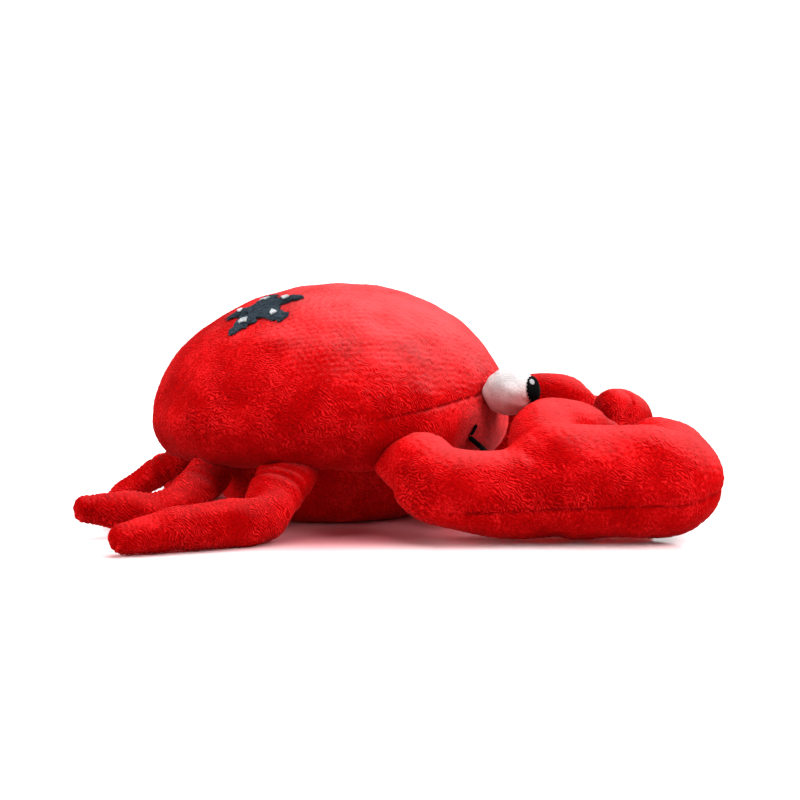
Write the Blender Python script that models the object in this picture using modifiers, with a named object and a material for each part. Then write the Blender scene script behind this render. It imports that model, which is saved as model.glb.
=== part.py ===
"""A stuffed plush crab: a domed body on a flat belly, two pincer arms and six legs sewn under the
dome's edge, ball eyes with embroidered pupils, an embroidered smile and a sewn-on starfish patch.

Metres, +Z up, +X the way the crab faces, +Y its left. The origin is the middle of the flat belly,
which is what the crab rests on.
"""

import math

import bmesh
import bpy
from mathutils import Matrix, Vector

GAP = 0.0003  # between pieces that touch

# Body: a round dome whose lower edge bulges over a narrower belly
BODY_RADIUS = 0.0901
BODY_HEIGHT = 0.116
WAIST_HEIGHT = 0.050  # where the dome is widest
TUCK_HEIGHT = 0.0295  # lowest line of the bulge
TUCK_RADIUS = 0.072
BELLY_RADIUS = 0.062
BELLY_CREASE_HEIGHT = 0.0325
CONTACT_RADIUS = 0.039  # the flat that it rests on
DOME_ROUNDNESS = 1.93  # exponent of the dome's superellipse, 2 being an ellipse
BULGE_ROUNDNESS = 2.2
BELLY_ROUNDNESS = 2.0
CROWN_LEAN = 0.006  # the crown sits this far towards the face
SEAM_RISE = 0.0165  # the dome's seam climbs this far from the middle to the face
SEAM_DEPTH = 0.0014
SEAM_WIDTH = 0.0035
BODY_COLUMNS = 60
DOME_ROWS = 9
BULGE_ROWS = 6
BELLY_ROWS = 5
CAP_RINGS = 3  # rings in a tube's round end
CLAW_MESH_SIZE = 0.0022
CLAW_MESH_KEPT = 0.117  # share of the remeshed faces that stay

# Cheeks: a shallow fold runs down from each corner of the smile
CHEEK_AZIMUTH = math.radians(46.5)
CHEEK_DEPTH = 0.0026
CHEEK_WIDTH = math.radians(5)

# Arms and pincers, one pattern for both sides. The palm runs forwards beside the face, and its two
# fingers point inwards and meet, in a plane that leans up about the palm's middle line.
SHOULDER_AZIMUTH = math.radians(69)
SHOULDER_HEIGHT = 0.0320
SHOULDER_INSET = 0.020  # how deep inside the body's skin the sewn end's middle line starts
SHOULDER_RADIUS = 0.0102
UPPER_ARM_RISE = 0.0025  # how far the upper arm arches over a straight line to the elbow
ARM_RADIUS = 0.0180
ELBOW_REACH = 0.64 * BODY_RADIUS  # how far the elbow is ahead of the body's middle
PALM_RADIUS = 0.0258
PALM_REAR = BODY_RADIUS + 0.0139  # the palm's middle line starts this far ahead of the body
PALM_FRONT = PALM_REAR + 0.0512
PALM_SIDE = BODY_RADIUS + 0.0014  # and lies this far to the side
FINGER_REACH = 0.0495  # from the palm's middle line to the finger tips
FINGER_RADIUS = 0.0155
REAR_TIP_RADIUS = 0.0066
FRONT_TIP_RADIUS = 0.0082
TIP_SPACE = 0.0015  # between the two finger tips, along the palm
TIP_STEP = 0.0065  # the front finger's tip stays this far short of the rear one's
FLOOR_CLEARANCE = 0.0008
ARMS_SWING = math.radians(-4.5)  # both arms lie turned this much about the body
# For each pincer: lean of the fingers' plane, lift of the wrist, arch of the rear finger above the
# plane, droop of its tip, and how far forward the arm is pulled
RIGHT_POSE = (math.radians(21), 0.0, 0.0085, 0.0, 0.0)
LEFT_POSE = (math.radians(33), 0.0050, 0.0012, 0.0022, 0.001)

# Legs, three a side. Each leaves from under the bulge, drops to the floor and lies along it.
LEG_ROOT_HEIGHT = 0.0330
LEG_INSET = 0.010
LEG_RADIUS = 0.0098
LEG_ROOT_PRESS = 0.76  # the sewn end is this much less deep than wide
LEG_TIP_RADIUS = 0.0072
LEG_STEEPNESS = 0.0085  # how far the root's middle line drops before the knee

# Eyes
EYE_RADIUS = 0.0113
EYE_STRETCH = 1.17  # longer outwards than across
EYE_AZIMUTH = math.radians(34.7)
EYE_HEIGHT = 0.064
EYE_LIFT = math.radians(7)  # the eye looks up by this much
EYE_SINK = 0.0008  # pressed into the dome by this much
PUPIL_ANGLE = math.radians(29.5)  # half the angle that the pupil spans
PUPIL_THICKNESS = 0.0010
GLINT_RADIUS = 0.0012
GLINT_THICKNESS = 0.0005
GLINT_ANGLE = math.radians(20)  # from the pupil's middle
GLINT_TURN = math.radians(28)  # from straight up, outwards

# Smile
SMILE_AZIMUTH = math.radians(44)
SMILE_HEIGHT = 0.0425  # at its corners
SMILE_DIP = 0.0110
SMILE_SQUARENESS = 3.8  # the higher, the flatter its middle and the steeper its ends
STITCH_RADIUS = 0.0010
TICK_LENGTH = 0.0055
TICK_RADIUS = 0.0006

# Starfish patch on the dome's back
PATCH_AZIMUTH = math.radians(-138)
PATCH_POLAR = math.radians(38)  # from the crown down to the patch's middle
PATCH_RADIUS = 0.026
PATCH_WAIST = 0.46  # inner radius of the star as a share of its outer one
PATCH_ARMS = 5
PATCH_THICKNESS = 0.0012
DOT_RADIUS = 0.0021
DOT_THICKNESS = 0.0007
DOT_SEAT = 0.56  # how far along an arm its dot is

RED_PLUSH = (0.62, 0.006, 0.012)
WHITE_PLUSH = (0.82, 0.80, 0.78)
BLACK_THREAD = (0.008, 0.008, 0.009)
GREY_THREAD = (0.55, 0.56, 0.58)
SLATE_FELT = (0.055, 0.065, 0.078)


def clear_scene():
    for obj in list(bpy.data.objects):
        bpy.data.objects.remove(obj, do_unlink=True)


def collection(name, hidden=False):
    made = bpy.data.collections.new(name)
    bpy.context.scene.collection.children.link(made)
    made.hide_render = hidden
    return made


def material(name, colour, roughness):
    made = bpy.data.materials.new(name)
    made.use_nodes = True
    shader = made.node_tree.nodes["Principled BSDF"]
    shader.inputs["Base Color"].default_value = (*colour, 1.0)
    shader.inputs["Roughness"].default_value = roughness
    shader.inputs["Metallic"].default_value = 0.0
    return made


def new_object(name, mesh, finish, into):
    obj = bpy.data.objects.new(name, mesh)
    into.objects.link(obj)
    if finish:
        mesh.materials.append(finish)
    mesh.shade_smooth()
    return obj


def mesh_from(build, name):
    bm = bmesh.new()
    build(bm)
    bmesh.ops.recalc_face_normals(bm, faces=bm.faces)
    mesh = bpy.data.meshes.new(name)
    bm.to_mesh(mesh)
    bm.free()
    return mesh


def superarc(start, end, roundness, count):
    """Points of a quarter superellipse that leaves start along the radius and meets end upright."""
    points = []
    for i in range(count + 1):
        angle = math.pi / 2 * i / count
        across = math.sin(angle) ** (2 / roundness)
        up = 1 - math.cos(angle) ** (2 / roundness)
        points.append(
            (start[0] + (end[0] - start[0]) * across, start[1] + (end[1] - start[1]) * up)
        )
    return points


def side_radius(z):
    """The dome's radius at a height between the tuck and the crown, without seam or folds."""
    if z >= WAIST_HEIGHT:
        rise = min(1.0, (z - WAIST_HEIGHT) / (BODY_HEIGHT - WAIST_HEIGHT))
        return BODY_RADIUS * (1 - rise**DOME_ROUNDNESS) ** (1 / DOME_ROUNDNESS)
    drop = min(1.0, (WAIST_HEIGHT - z) / (WAIST_HEIGHT - TUCK_HEIGHT))
    bulge = (1 - drop**BULGE_ROUNDNESS) ** (1 / BULGE_ROUNDNESS)
    return TUCK_RADIUS + (BODY_RADIUS - TUCK_RADIUS) * bulge


def seam_share(height):
    """1 at the seam's own row, falling to 0 at the tuck and at the crown."""
    if height >= WAIST_HEIGHT:
        return max(0.0, 1 - (height - WAIST_HEIGHT) / (BODY_HEIGHT - WAIST_HEIGHT))
    return max(0.0, 1 - (WAIST_HEIGHT - height) / (WAIST_HEIGHT - TUCK_HEIGHT))


def seam_height(azimuth):
    return WAIST_HEIGHT + SEAM_RISE * max(-0.6, math.cos(azimuth))


def folds(azimuth, z):
    """How far the seam and the cheeks draw the skin in."""
    off_seam = (z - seam_height(azimuth)) / SEAM_WIDTH
    seam = SEAM_DEPTH * math.exp(-(off_seam**2))
    off_cheek = (abs(azimuth) - CHEEK_AZIMUTH) / CHEEK_WIDTH
    span = max(0.0, min(1.0, (SMILE_HEIGHT + SMILE_DIP - z) / SMILE_DIP))
    return seam + CHEEK_DEPTH * span * math.exp(-(off_cheek**2))


def skin_point(azimuth, z, out=0.0):
    """A point of the dome's side, moved outwards from the skin."""
    step = 0.0005
    slope = (side_radius(z + step) - side_radius(z - step)) / (2 * step)
    radius = side_radius(z) - folds(azimuth, z)
    length = math.hypot(1.0, slope)
    radius += out / length
    z -= out * slope / length
    lean = CROWN_LEAN * max(0.0, (z - WAIST_HEIGHT) / (BODY_HEIGHT - WAIST_HEIGHT)) ** 2
    return Vector((radius * math.cos(azimuth) + lean, radius * math.sin(azimuth), z))


def body_mesh():
    """Rings of the belly, the bulge and the dome, lofted from the flat belly to the crown."""
    belly = superarc(
        (CONTACT_RADIUS, 0.0), (BELLY_RADIUS, BELLY_CREASE_HEIGHT), BELLY_ROUNDNESS, BELLY_ROWS
    )
    bulge_heights = [
        WAIST_HEIGHT
        - (WAIST_HEIGHT - TUCK_HEIGHT) * math.cos(math.pi / 2 * i / BULGE_ROWS)
        for i in range(BULGE_ROWS)
    ]
    dome_heights = [
        WAIST_HEIGHT + (BODY_HEIGHT - WAIST_HEIGHT) * math.sin(math.pi / 2 * i / DOME_ROWS)
        for i in range(DOME_ROWS)
    ]

    def side_ring(height):
        for column in range(BODY_COLUMNS):
            azimuth = 2 * math.pi * column / BODY_COLUMNS
            azimuth = azimuth - 2 * math.pi if azimuth > math.pi else azimuth
            shift = (seam_height(azimuth) - WAIST_HEIGHT) * seam_share(height)
            yield skin_point(azimuth, height + shift)

    def flat_ring(radius, z):
        for column in range(BODY_COLUMNS):
            azimuth = 2 * math.pi * column / BODY_COLUMNS
            yield Vector((radius * math.cos(azimuth), radius * math.sin(azimuth), z))

    def build(bm):
        rings = [list(flat_ring(r, z)) for r, z in belly]
        rings += [list(side_ring(z)) for z in bulge_heights + dome_heights]
        loops = [[bm.verts.new(p) for p in ring] for ring in rings]
        bm.faces.new(reversed(loops[0]))
        for lower, upper in zip(loops, loops[1:]):
            for i in range(BODY_COLUMNS):
                j = (i + 1) % BODY_COLUMNS
                bm.faces.new((lower[i], lower[j], upper[j], upper[i]))
        crown = bm.verts.new((CROWN_LEAN, 0.0, BODY_HEIGHT))
        top = loops[-1]
        for i in range(BODY_COLUMNS):
            bm.faces.new((top[i], top[(i + 1) % BODY_COLUMNS], crown))

    return mesh_from(build, "body")


def smooth_path(stations, steps):
    """Points, radii and presses of a Catmull-Rom curve through stations of those three."""
    ends = [stations[0]] + list(stations) + [stations[-1]]
    path = []
    for near in zip(ends, ends[1:], ends[2:], ends[3:]):
        for step in range(steps):
            t = step / steps
            weights = (
                -0.5 * t + t**2 - 0.5 * t**3,
                1 - 2.5 * t**2 + 1.5 * t**3,
                0.5 * t + 2 * t**2 - 1.5 * t**3,
                -0.5 * t**2 + 0.5 * t**3,
            )
            point = sum((w * station[0] for w, station in zip(weights, near)), Vector())
            radius, press = (sum(w * station[k] for w, station in zip(weights, near)) for k in (1, 2))
            path.append((point, radius, press))
    path.append(tuple(stations[-1]))
    return path


def sweep(bm, stations, steps, segments):
    """A closed tube along a smooth path, pressed flat by each station's share, with round ends."""
    path = smooth_path(stations, steps)
    tangents = [
        (path[min(i + 1, len(path) - 1)][0] - path[max(i - 1, 0)][0]).normalized()
        for i in range(len(path))
    ]
    across = tangents[0].cross(Vector((0.0, 0.0, 1.0))).normalized()
    rings = []
    for (point, radius, press), tangent in zip(path, tangents):
        across = (across - tangent * across.dot(tangent)).normalized()
        rings.append((point, tangent, across * radius, tangent.cross(across) * radius * press))
    caps = [math.pi / 2 * i / CAP_RINGS for i in range(1, CAP_RINGS)]
    shares = [(math.sin(angle), math.cos(angle)) for angle in caps]
    ends = []
    for (point, tangent, wide, high), way in ((rings[0], -1), (rings[-1], 1)):
        reach = tangent * way * wide.length
        ends.append([(point + reach * s, tangent, wide * c, high * c) for s, c in shares])
        ends.append(point + reach)
    loops = []
    for point, _, wide, high in ends[0][::-1] + rings + ends[2]:
        turns = [2 * math.pi * i / segments for i in range(segments)]
        loops.append([bm.verts.new(point + wide * math.cos(t) + high * math.sin(t)) for t in turns])
    poles = (bm.verts.new(ends[1]), bm.verts.new(ends[3]))
    for i in range(segments):
        j = (i + 1) % segments
        bm.faces.new((poles[0], loops[0][j], loops[0][i]))
        bm.faces.new((poles[1], loops[-1][i], loops[-1][j]))
        for lower, upper in zip(loops, loops[1:]):
            bm.faces.new((lower[i], lower[j], upper[j], upper[i]))


def sew_on(obj, cutter):
    """Cuts the end that would lie inside the body, so that the piece sits against its skin."""
    cut = obj.modifiers.new("Sewn end", "BOOLEAN")
    cut.operation = "DIFFERENCE"
    cut.solver = "EXACT"
    cut.object = cutter


def claw_stations(side, pose):
    """Middle lines of one arm with its front finger, and of its rear finger, as sweep takes them."""
    tilt, lift, arch, droop, forward = pose
    length = PALM_FRONT - PALM_REAR
    palm_height = PALM_RADIUS + FLOOR_CLEARANCE
    arm_height = ARM_RADIUS + FLOOR_CLEARANCE

    def seat(x, reach=0.0, above=0.0):
        """A point at a place along the palm, at a reach towards the finger tips."""
        share = max(0.0, min(1.0, (PALM_FRONT - x) / length))
        inwards = Vector((0.0, -side * math.cos(tilt), math.sin(tilt)))
        base = Vector((x + forward, side * PALM_SIDE, palm_height + lift * share + above))
        return base + inwards * reach

    def arched(x, share, radius):
        rise = arch * math.sin(math.pi * share) - droop * share**4
        return seat(x, share * FINGER_REACH, rise), radius, 1.0

    def level(x, reach, radius):
        return seat(x, reach), radius, 1.0

    sewn = skin_point(side * SHOULDER_AZIMUTH, SHOULDER_HEIGHT, -SHOULDER_INSET)
    sewn.z = SHOULDER_HEIGHT + 0.4 * SHOULDER_RADIUS
    edge = skin_point(side * SHOULDER_AZIMUTH, SHOULDER_HEIGHT, -0.2 * SHOULDER_RADIUS)
    rise = Vector((0.0, 0.0, UPPER_ARM_RISE))
    elbow = Vector((ELBOW_REACH, side * (PALM_SIDE + 0.3 * ARM_RADIUS), arm_height + 0.3 * ARM_RADIUS))
    elbow.z += 0.5 * lift
    wrist = seat(PALM_REAR - 0.42 * length, -0.22 * ARM_RADIUS)
    wrist.z = arm_height + 0.15 * ARM_RADIUS + 0.8 * lift
    meeting = PALM_REAR + 0.73 * length
    arm = [
        (sewn, 0.9 * SHOULDER_RADIUS, 1.0),
        (edge, SHOULDER_RADIUS, 1.0),
        (edge.lerp(elbow, 0.32) + rise, 0.85 * ARM_RADIUS, 1.0),
        (edge.lerp(elbow, 0.66), 0.96 * ARM_RADIUS, 1.0),
        (elbow, ARM_RADIUS, 1.0),
        (wrist, 1.11 * ARM_RADIUS, 1.0),
        level(PALM_REAR - 0.12 * length, 0.0, 0.93 * PALM_RADIUS),
        level(PALM_REAR + 0.12 * length, 0.0, PALM_RADIUS),
        level(PALM_REAR + 0.45 * length, 0.0, 0.96 * PALM_RADIUS),
        level(PALM_REAR + 0.80 * length, 0.0, 0.98 * PALM_RADIUS),
        level(PALM_FRONT, 0.04 * FINGER_REACH, 0.93 * PALM_RADIUS),
        level(PALM_FRONT + 0.08 * length, 0.42 * FINGER_REACH, 1.12 * FINGER_RADIUS),
        level(PALM_FRONT + 0.01 * length, 0.68 * FINGER_REACH, 0.92 * FINGER_RADIUS),
        level(PALM_FRONT - 0.07 * length, 0.82 * FINGER_REACH, 0.74 * FINGER_RADIUS),
        level(meeting + 0.5 * TIP_SPACE + FRONT_TIP_RADIUS, FINGER_REACH - TIP_STEP, FRONT_TIP_RADIUS),
    ]
    rear_finger = [
        arched(PALM_REAR, 0.1, 1.25 * FINGER_RADIUS),
        arched(PALM_REAR - 0.07 * length, 0.40, 1.08 * FINGER_RADIUS),
        arched(PALM_REAR + 0.06 * length, 0.72, 1.02 * FINGER_RADIUS),
        arched(PALM_REAR + 0.30 * length, 0.93, 0.90 * FINGER_RADIUS),
        arched(PALM_REAR + 0.50 * length, 1.0, 0.69 * FINGER_RADIUS),
        arched(meeting - 0.5 * TIP_SPACE - REAR_TIP_RADIUS, 1.0, REAR_TIP_RADIUS),
    ]
    swing = Matrix.Rotation(ARMS_SWING, 3, "Z")
    return [[(swing @ point, *size) for point, *size in line] for line in (arm, rear_finger)]


def claw(name, side, pose, finish, into, cutter):
    """An arm and its pincer: tubes that cross, remeshed as one stuffed skin and smoothed."""

    def build(bm):
        for line in claw_stations(side, pose):
            sweep(bm, line, 3, 20)

    obj = new_object(name, mesh_from(build, name), finish, into)
    join = obj.modifiers.new("One skin", "REMESH")
    join.mode = "VOXEL"
    join.voxel_size = CLAW_MESH_SIZE
    join.use_smooth_shade = True
    relax = obj.modifiers.new("Relax", "SMOOTH")
    relax.factor = 0.5
    relax.iterations = 6
    thin_out = obj.modifiers.new("Fewer faces", "DECIMATE")
    thin_out.ratio = CLAW_MESH_KEPT
    sew_on(obj, cutter)
    return obj


def leg_stations(side, azimuth, root_width, root_drop, stoutness, knee, shin, foot, left_turn):
    """Middle line of one leg. knee, shin and foot are (x, outwards, above the floor) from its root.
    A left leg is turned outwards about its root by left_turn."""
    root = skin_point(side * azimuth, LEG_ROOT_HEIGHT)
    inside = skin_point(side * azimuth, LEG_ROOT_HEIGHT, -2.2 * LEG_INSET)
    inside.z = LEG_ROOT_HEIGHT + 0.5 * LEG_STEEPNESS
    edge = skin_point(side * azimuth, LEG_ROOT_HEIGHT, -LEG_INSET)
    edge.z = LEG_ROOT_HEIGHT - 0.6 * LEG_STEEPNESS - root_drop
    turn = Matrix.Rotation(-left_turn if side > 0 else 0.0, 2)

    def at(x, outwards, above, radius):
        place = turn @ Vector((x, side * outwards))
        radius = stoutness * radius
        height = radius + FLOOR_CLEARANCE + above
        return Vector((root.x + place.x, root.y + place.y, height)), radius, 1.0

    bend = at(*knee, 1.05 * LEG_RADIUS)
    return [
        (inside, 0.85 * root_width, 0.9 * LEG_ROOT_PRESS),
        (edge, root_width, LEG_ROOT_PRESS),
        (edge.lerp(bend[0], 0.55), 0.5 * (root_width + bend[1]), 0.5 + 0.5 * LEG_ROOT_PRESS),
        bend,
        at(*shin, LEG_RADIUS),
        at(*(0.5 * (s + f) for s, f in zip(shin, foot)), 0.9 * LEG_RADIUS),
        at(*foot, LEG_TIP_RADIUS),
    ]


def leg(name, side, place, finish, into, cutter):
    def build(bm):
        sweep(bm, leg_stations(side, *place), 2, 12)

    obj = new_object(name, mesh_from(build, name), finish, into)
    sew_on(obj, cutter)
    return obj


# For each leg: azimuth, half width and drop of its root, stoutness, its knee, shin and foot, and
# the left leg's turn
LEGS = {
    "front": (
        math.radians(107), 0.0138, 0.0, 1.0,
        (-0.010, 0.017, 0.0), (-0.028, 0.028, 0.0), (-0.066, 0.043, 0.0), math.radians(10),
    ),
    "middle": (
        math.radians(136), 0.0110, 0.0030, 1.0,
        (-0.011, 0.012, 0.001), (-0.024, 0.017, 0.0), (-0.052, 0.021, 0.0056), math.radians(28),
    ),
    "rear": (
        math.radians(168), 0.0095, 0.0015, 0.86,
        (-0.0060, -0.001, 0.0090), (-0.0175, -0.003, 0.0015), (-0.0275, -0.005, 0.0), math.radians(95),
    ),
}


def eye_frame(side):
    """Axes at an eye's middle: its own Z points outwards along its gaze, and its X up."""
    azimuth = side * EYE_AZIMUTH
    seat = skin_point(azimuth, EYE_HEIGHT)
    level = Vector((math.cos(azimuth), math.sin(azimuth), 0.0))
    middle = seat + level * (EYE_RADIUS * EYE_STRETCH - EYE_SINK)
    gaze = level * math.cos(EYE_LIFT) + Vector((0.0, 0.0, math.sin(EYE_LIFT)))
    across = level.cross(Vector((0.0, 0.0, 1.0)))
    turn = Matrix((across.cross(gaze), across, gaze)).transposed()
    return Matrix.Translation(middle) @ turn.to_4x4()


def eye(side, finish, into, cutter):
    name = "right_eye" if side < 0 else "left_eye"

    def build(bm):
        bmesh.ops.create_uvsphere(bm, u_segments=18, v_segments=11, radius=EYE_RADIUS)
        bmesh.ops.scale(bm, vec=(1, 1, EYE_STRETCH), verts=bm.verts)
        bmesh.ops.transform(bm, matrix=eye_frame(side), verts=bm.verts)

    obj = new_object(name, mesh_from(build, name), finish, into)
    sew_on(obj, cutter)
    return obj


def dish(bm, radius_at, matrix, angle, thickness, rings, segments):
    """A round patch on a ball: rings from its middle out, with a rounded upper face and an edge."""
    lower, upper = [], []
    for ring in range(rings + 1):
        polar = angle * ring / rings
        edge = math.sqrt(max(0.0, 1 - (ring / rings) ** 4))
        count = 1 if ring == 0 else segments
        for level, store in ((0.0, lower), (thickness * (0.35 + 0.65 * edge), upper)):
            loop = []
            for i in range(count):
                turn = 2 * math.pi * i / segments
                across = Vector((math.cos(turn), math.sin(turn), 0.0)) * math.sin(polar)
                point = (across + Vector((0.0, 0.0, math.cos(polar)))) * (radius_at(polar) + level)
                loop.append(bm.verts.new(matrix @ point))
            store.append(loop)
    for loops in (lower, upper):
        for i in range(segments):
            j = (i + 1) % segments
            bm.faces.new((loops[0][0], loops[1][i], loops[1][j]))
            for a, b in zip(loops[1:], loops[2:]):
                bm.faces.new((a[i], b[i], b[j], a[j]))
    for i in range(segments):
        j = (i + 1) % segments
        bm.faces.new((lower[-1][i], lower[-1][j], upper[-1][j], upper[-1][i]))


def eye_reach(polar):
    """Distance from the eye's middle to its skin, at an angle from its outward axis."""
    return EYE_RADIUS / math.sqrt(math.sin(polar) ** 2 + (math.cos(polar) / EYE_STRETCH) ** 2)


def pupil(side, finish, into):
    name = "right_pupil" if side < 0 else "left_pupil"

    def build(bm):
        frame = eye_frame(side)
        dish(bm, lambda polar: eye_reach(polar) + GAP, frame, PUPIL_ANGLE, PUPIL_THICKNESS, 3, 20)

    return new_object(name, mesh_from(build, name), finish, into)


def glint(side, finish, into):
    name = "right_glint" if side < 0 else "left_glint"
    turn = Matrix.Rotation(-side * GLINT_TURN, 4, "Z") @ Matrix.Rotation(GLINT_ANGLE, 4, "Y")
    frame = eye_frame(side) @ turn
    seat = eye_reach(GLINT_ANGLE) + 2 * GAP + PUPIL_THICKNESS
    angle = GLINT_RADIUS / seat

    def build(bm):
        dish(bm, lambda polar: seat, frame, angle, GLINT_THICKNESS, 2, 10)

    return new_object(name, mesh_from(build, name), finish, into)


def thread(name, points, radius, finish, into):
    """Raised satin stitch along points, as a round bead."""
    curve = bpy.data.curves.new(name, "CURVE")
    curve.dimensions = "3D"
    curve.bevel_depth = radius
    curve.bevel_resolution = 1
    curve.use_fill_caps = True
    spline = curve.splines.new("POLY")
    spline.points.add(len(points) - 1)
    for target, point in zip(spline.points, points):
        target.co = (*point, 1.0)
    curve.materials.append(finish)
    obj = bpy.data.objects.new(name, curve)
    into.objects.link(obj)
    return obj


def smile_height(azimuth):
    return SMILE_HEIGHT - SMILE_DIP * (1 - abs(azimuth / SMILE_AZIMUTH) ** SMILE_SQUARENESS)


def mouth(finish, into):
    lift = GAP + STITCH_RADIUS
    count = 28
    line = []
    for i in range(count + 1):
        azimuth = SMILE_AZIMUTH * (2 * i / count - 1)
        line.append(skin_point(azimuth, smile_height(azimuth), lift))
    thread("mouth_line", line, STITCH_RADIUS, finish, into)
    for side, name in ((-1, "right_mouth_tick"), (1, "left_mouth_tick")):
        start = SMILE_HEIGHT + STITCH_RADIUS + TICK_RADIUS + GAP
        spread = 0.35 * TICK_LENGTH / BODY_RADIUS
        tick = []
        for t in (0.0, 0.25, 0.5, 0.75, 1.0):
            azimuth = side * (SMILE_AZIMUTH - spread * t)
            tick.append(skin_point(azimuth, start + TICK_LENGTH * t, GAP + TICK_RADIUS))
        thread(name, tick, TICK_RADIUS, finish, into)


def patch_frame():
    """Axes on the dome's back: Z out of the skin, X down the slope."""
    azimuth = PATCH_AZIMUTH
    height = BODY_HEIGHT - (BODY_HEIGHT - WAIST_HEIGHT) * (1 - math.cos(PATCH_POLAR))
    seat = skin_point(azimuth, height)
    out = (skin_point(azimuth, height, 0.01) - seat).normalized()
    round_body = Vector((-math.sin(azimuth), math.cos(azimuth), 0.0))
    turn = Matrix((round_body.cross(out), round_body, out)).transposed()
    return Matrix.Translation(seat) @ turn.to_4x4()


def star_radius(turn):
    """The starfish's outline: arms that swell and fall smoothly about its middle."""
    wave = 0.5 + 0.5 * math.cos(PATCH_ARMS * turn)
    return PATCH_RADIUS * (PATCH_WAIST + (1 - PATCH_WAIST) * wave**1.5)


def draped(name, outline, middle, thickness, rings, segments, lift, body, finish, into):
    """A flat cut piece: a grid over its outline, laid on the body's skin and thickened."""
    frame = patch_frame()

    def build(bm):
        loops = []
        for ring in range(rings + 1):
            share = ring / rings
            count = 1 if ring == 0 else segments
            loop = []
            for i in range(count):
                turn = 2 * math.pi * i / segments
                reach = outline(turn) * share
                x = middle[0] + reach * math.cos(turn)
                y = middle[1] + reach * math.sin(turn)
                loop.append(bm.verts.new(frame @ Vector((x, y, 0.02))))
            loops.append(loop)
        for i in range(segments):
            j = (i + 1) % segments
            bm.faces.new((loops[0][0], loops[1][i], loops[1][j]))
            for a, b in zip(loops[1:], loops[2:]):
                bm.faces.new((a[i], b[i], b[j], a[j]))

    obj = new_object(name, mesh_from(build, name), finish, into)
    shrink = obj.modifiers.new("Lay on the skin", "SHRINKWRAP")
    shrink.target = body
    shrink.wrap_method = "NEAREST_SURFACEPOINT"
    shrink.wrap_mode = "OUTSIDE_SURFACE"
    shrink.offset = lift
    cloth = obj.modifiers.new("Cloth", "SOLIDIFY")
    cloth.thickness = thickness
    cloth.offset = 1.0
    return obj


def patch(body, felt, thread_finish, into):
    star = ("patch_starfish", star_radius, (0.0, 0.0), PATCH_THICKNESS, 4, 40, GAP)
    draped(*star, body, felt, into)
    for arm in range(PATCH_ARMS):
        turn = 2 * math.pi * arm / PATCH_ARMS
        middle = (
            DOT_SEAT * PATCH_RADIUS * math.cos(turn),
            DOT_SEAT * PATCH_RADIUS * math.sin(turn),
        )
        lift = 2 * GAP + PATCH_THICKNESS
        dot = (f"patch_dot_{arm + 1}", lambda _: DOT_RADIUS, middle, DOT_THICKNESS, 2, 10, lift)
        draped(*dot, body, thread_finish, into)


def swelled_copy(body, into):
    """The body's skin moved out by the sewing gap, which cuts the ends of the limbs and the eyes."""
    obj = bpy.data.objects.new("body_cutter", body.data.copy())
    into.objects.link(obj)
    obj.hide_render = True
    obj.display_type = "WIRE"
    swell = obj.modifiers.new("Swell", "DISPLACE")
    swell.strength = GAP
    swell.mid_level = 0.0
    return obj


def main():
    clear_scene()
    crab = collection("plush_crab")
    cutters = collection("cutters", hidden=True)
    red = material("red_plush", RED_PLUSH, 0.9)
    white = material("white_plush", WHITE_PLUSH, 0.9)
    black = material("black_thread", BLACK_THREAD, 0.45)
    grey = material("grey_thread", GREY_THREAD, 0.5)
    slate = material("slate_felt", SLATE_FELT, 0.95)

    body = new_object("body", body_mesh(), red, crab)
    cutter = swelled_copy(body, cutters)
    claw("right_claw", -1, RIGHT_POSE, red, crab, cutter)
    claw("left_claw", 1, LEFT_POSE, red, crab, cutter)
    for side, side_name in ((-1, "right"), (1, "left")):
        for where, place in LEGS.items():
            leg(f"{side_name}_leg_{where}", side, place, red, crab, cutter)
        eye(side, white, crab, cutter)
        pupil(side, black, crab)
        glint(side, grey, crab)
    mouth(black, crab)
    patch(body, slate, grey, crab)


main()
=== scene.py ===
"""A stuffed plush crab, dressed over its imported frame: short-pile plush skins with seams, gathers
and folds, embroidered pupils and smile, and a starfish patch.

Metres, +Z up, +X the way the crab faces, +Y its left. Every shape is worked out with numpy from a
few sizes, and every piece lies where the frame's node of the same kind does.
"""

import math

import bpy
import numpy as np
from bpy.props import FloatProperty, FloatVectorProperty, PointerProperty, StringProperty
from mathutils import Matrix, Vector


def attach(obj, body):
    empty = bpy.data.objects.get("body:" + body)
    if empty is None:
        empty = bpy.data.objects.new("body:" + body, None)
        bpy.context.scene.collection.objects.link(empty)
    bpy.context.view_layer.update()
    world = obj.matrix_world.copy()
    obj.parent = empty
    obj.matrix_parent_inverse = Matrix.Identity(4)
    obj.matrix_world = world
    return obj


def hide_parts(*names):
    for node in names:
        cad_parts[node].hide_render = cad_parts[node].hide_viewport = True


bl_info = {
    "name": "Plush crab",
    "version": (1, 0, 0),
    "blender": (4, 5, 0),
    "location": "3D View > Sidebar > Plush crab",
    "description": "Builds a stuffed plush crab over its packed frame, with its stage",
    "category": "Add Mesh",
}

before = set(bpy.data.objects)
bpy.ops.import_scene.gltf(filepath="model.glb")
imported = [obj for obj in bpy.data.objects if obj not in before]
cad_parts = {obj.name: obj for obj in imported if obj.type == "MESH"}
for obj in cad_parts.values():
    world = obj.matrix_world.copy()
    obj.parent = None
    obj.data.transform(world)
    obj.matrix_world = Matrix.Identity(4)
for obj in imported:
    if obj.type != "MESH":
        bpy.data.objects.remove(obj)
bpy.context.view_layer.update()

MM = 0.001
SEWN_GAP = 0.3 * MM  # between a piece and what it is sewn on
THREAD = 0.8 * MM  # from one embroidery thread to the next
RIGHT, LEFT = -1, 1
SIDES = ((RIGHT, "right"), (LEFT, "left"))


# Shapes of the frame, so that each piece follows its node

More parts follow.
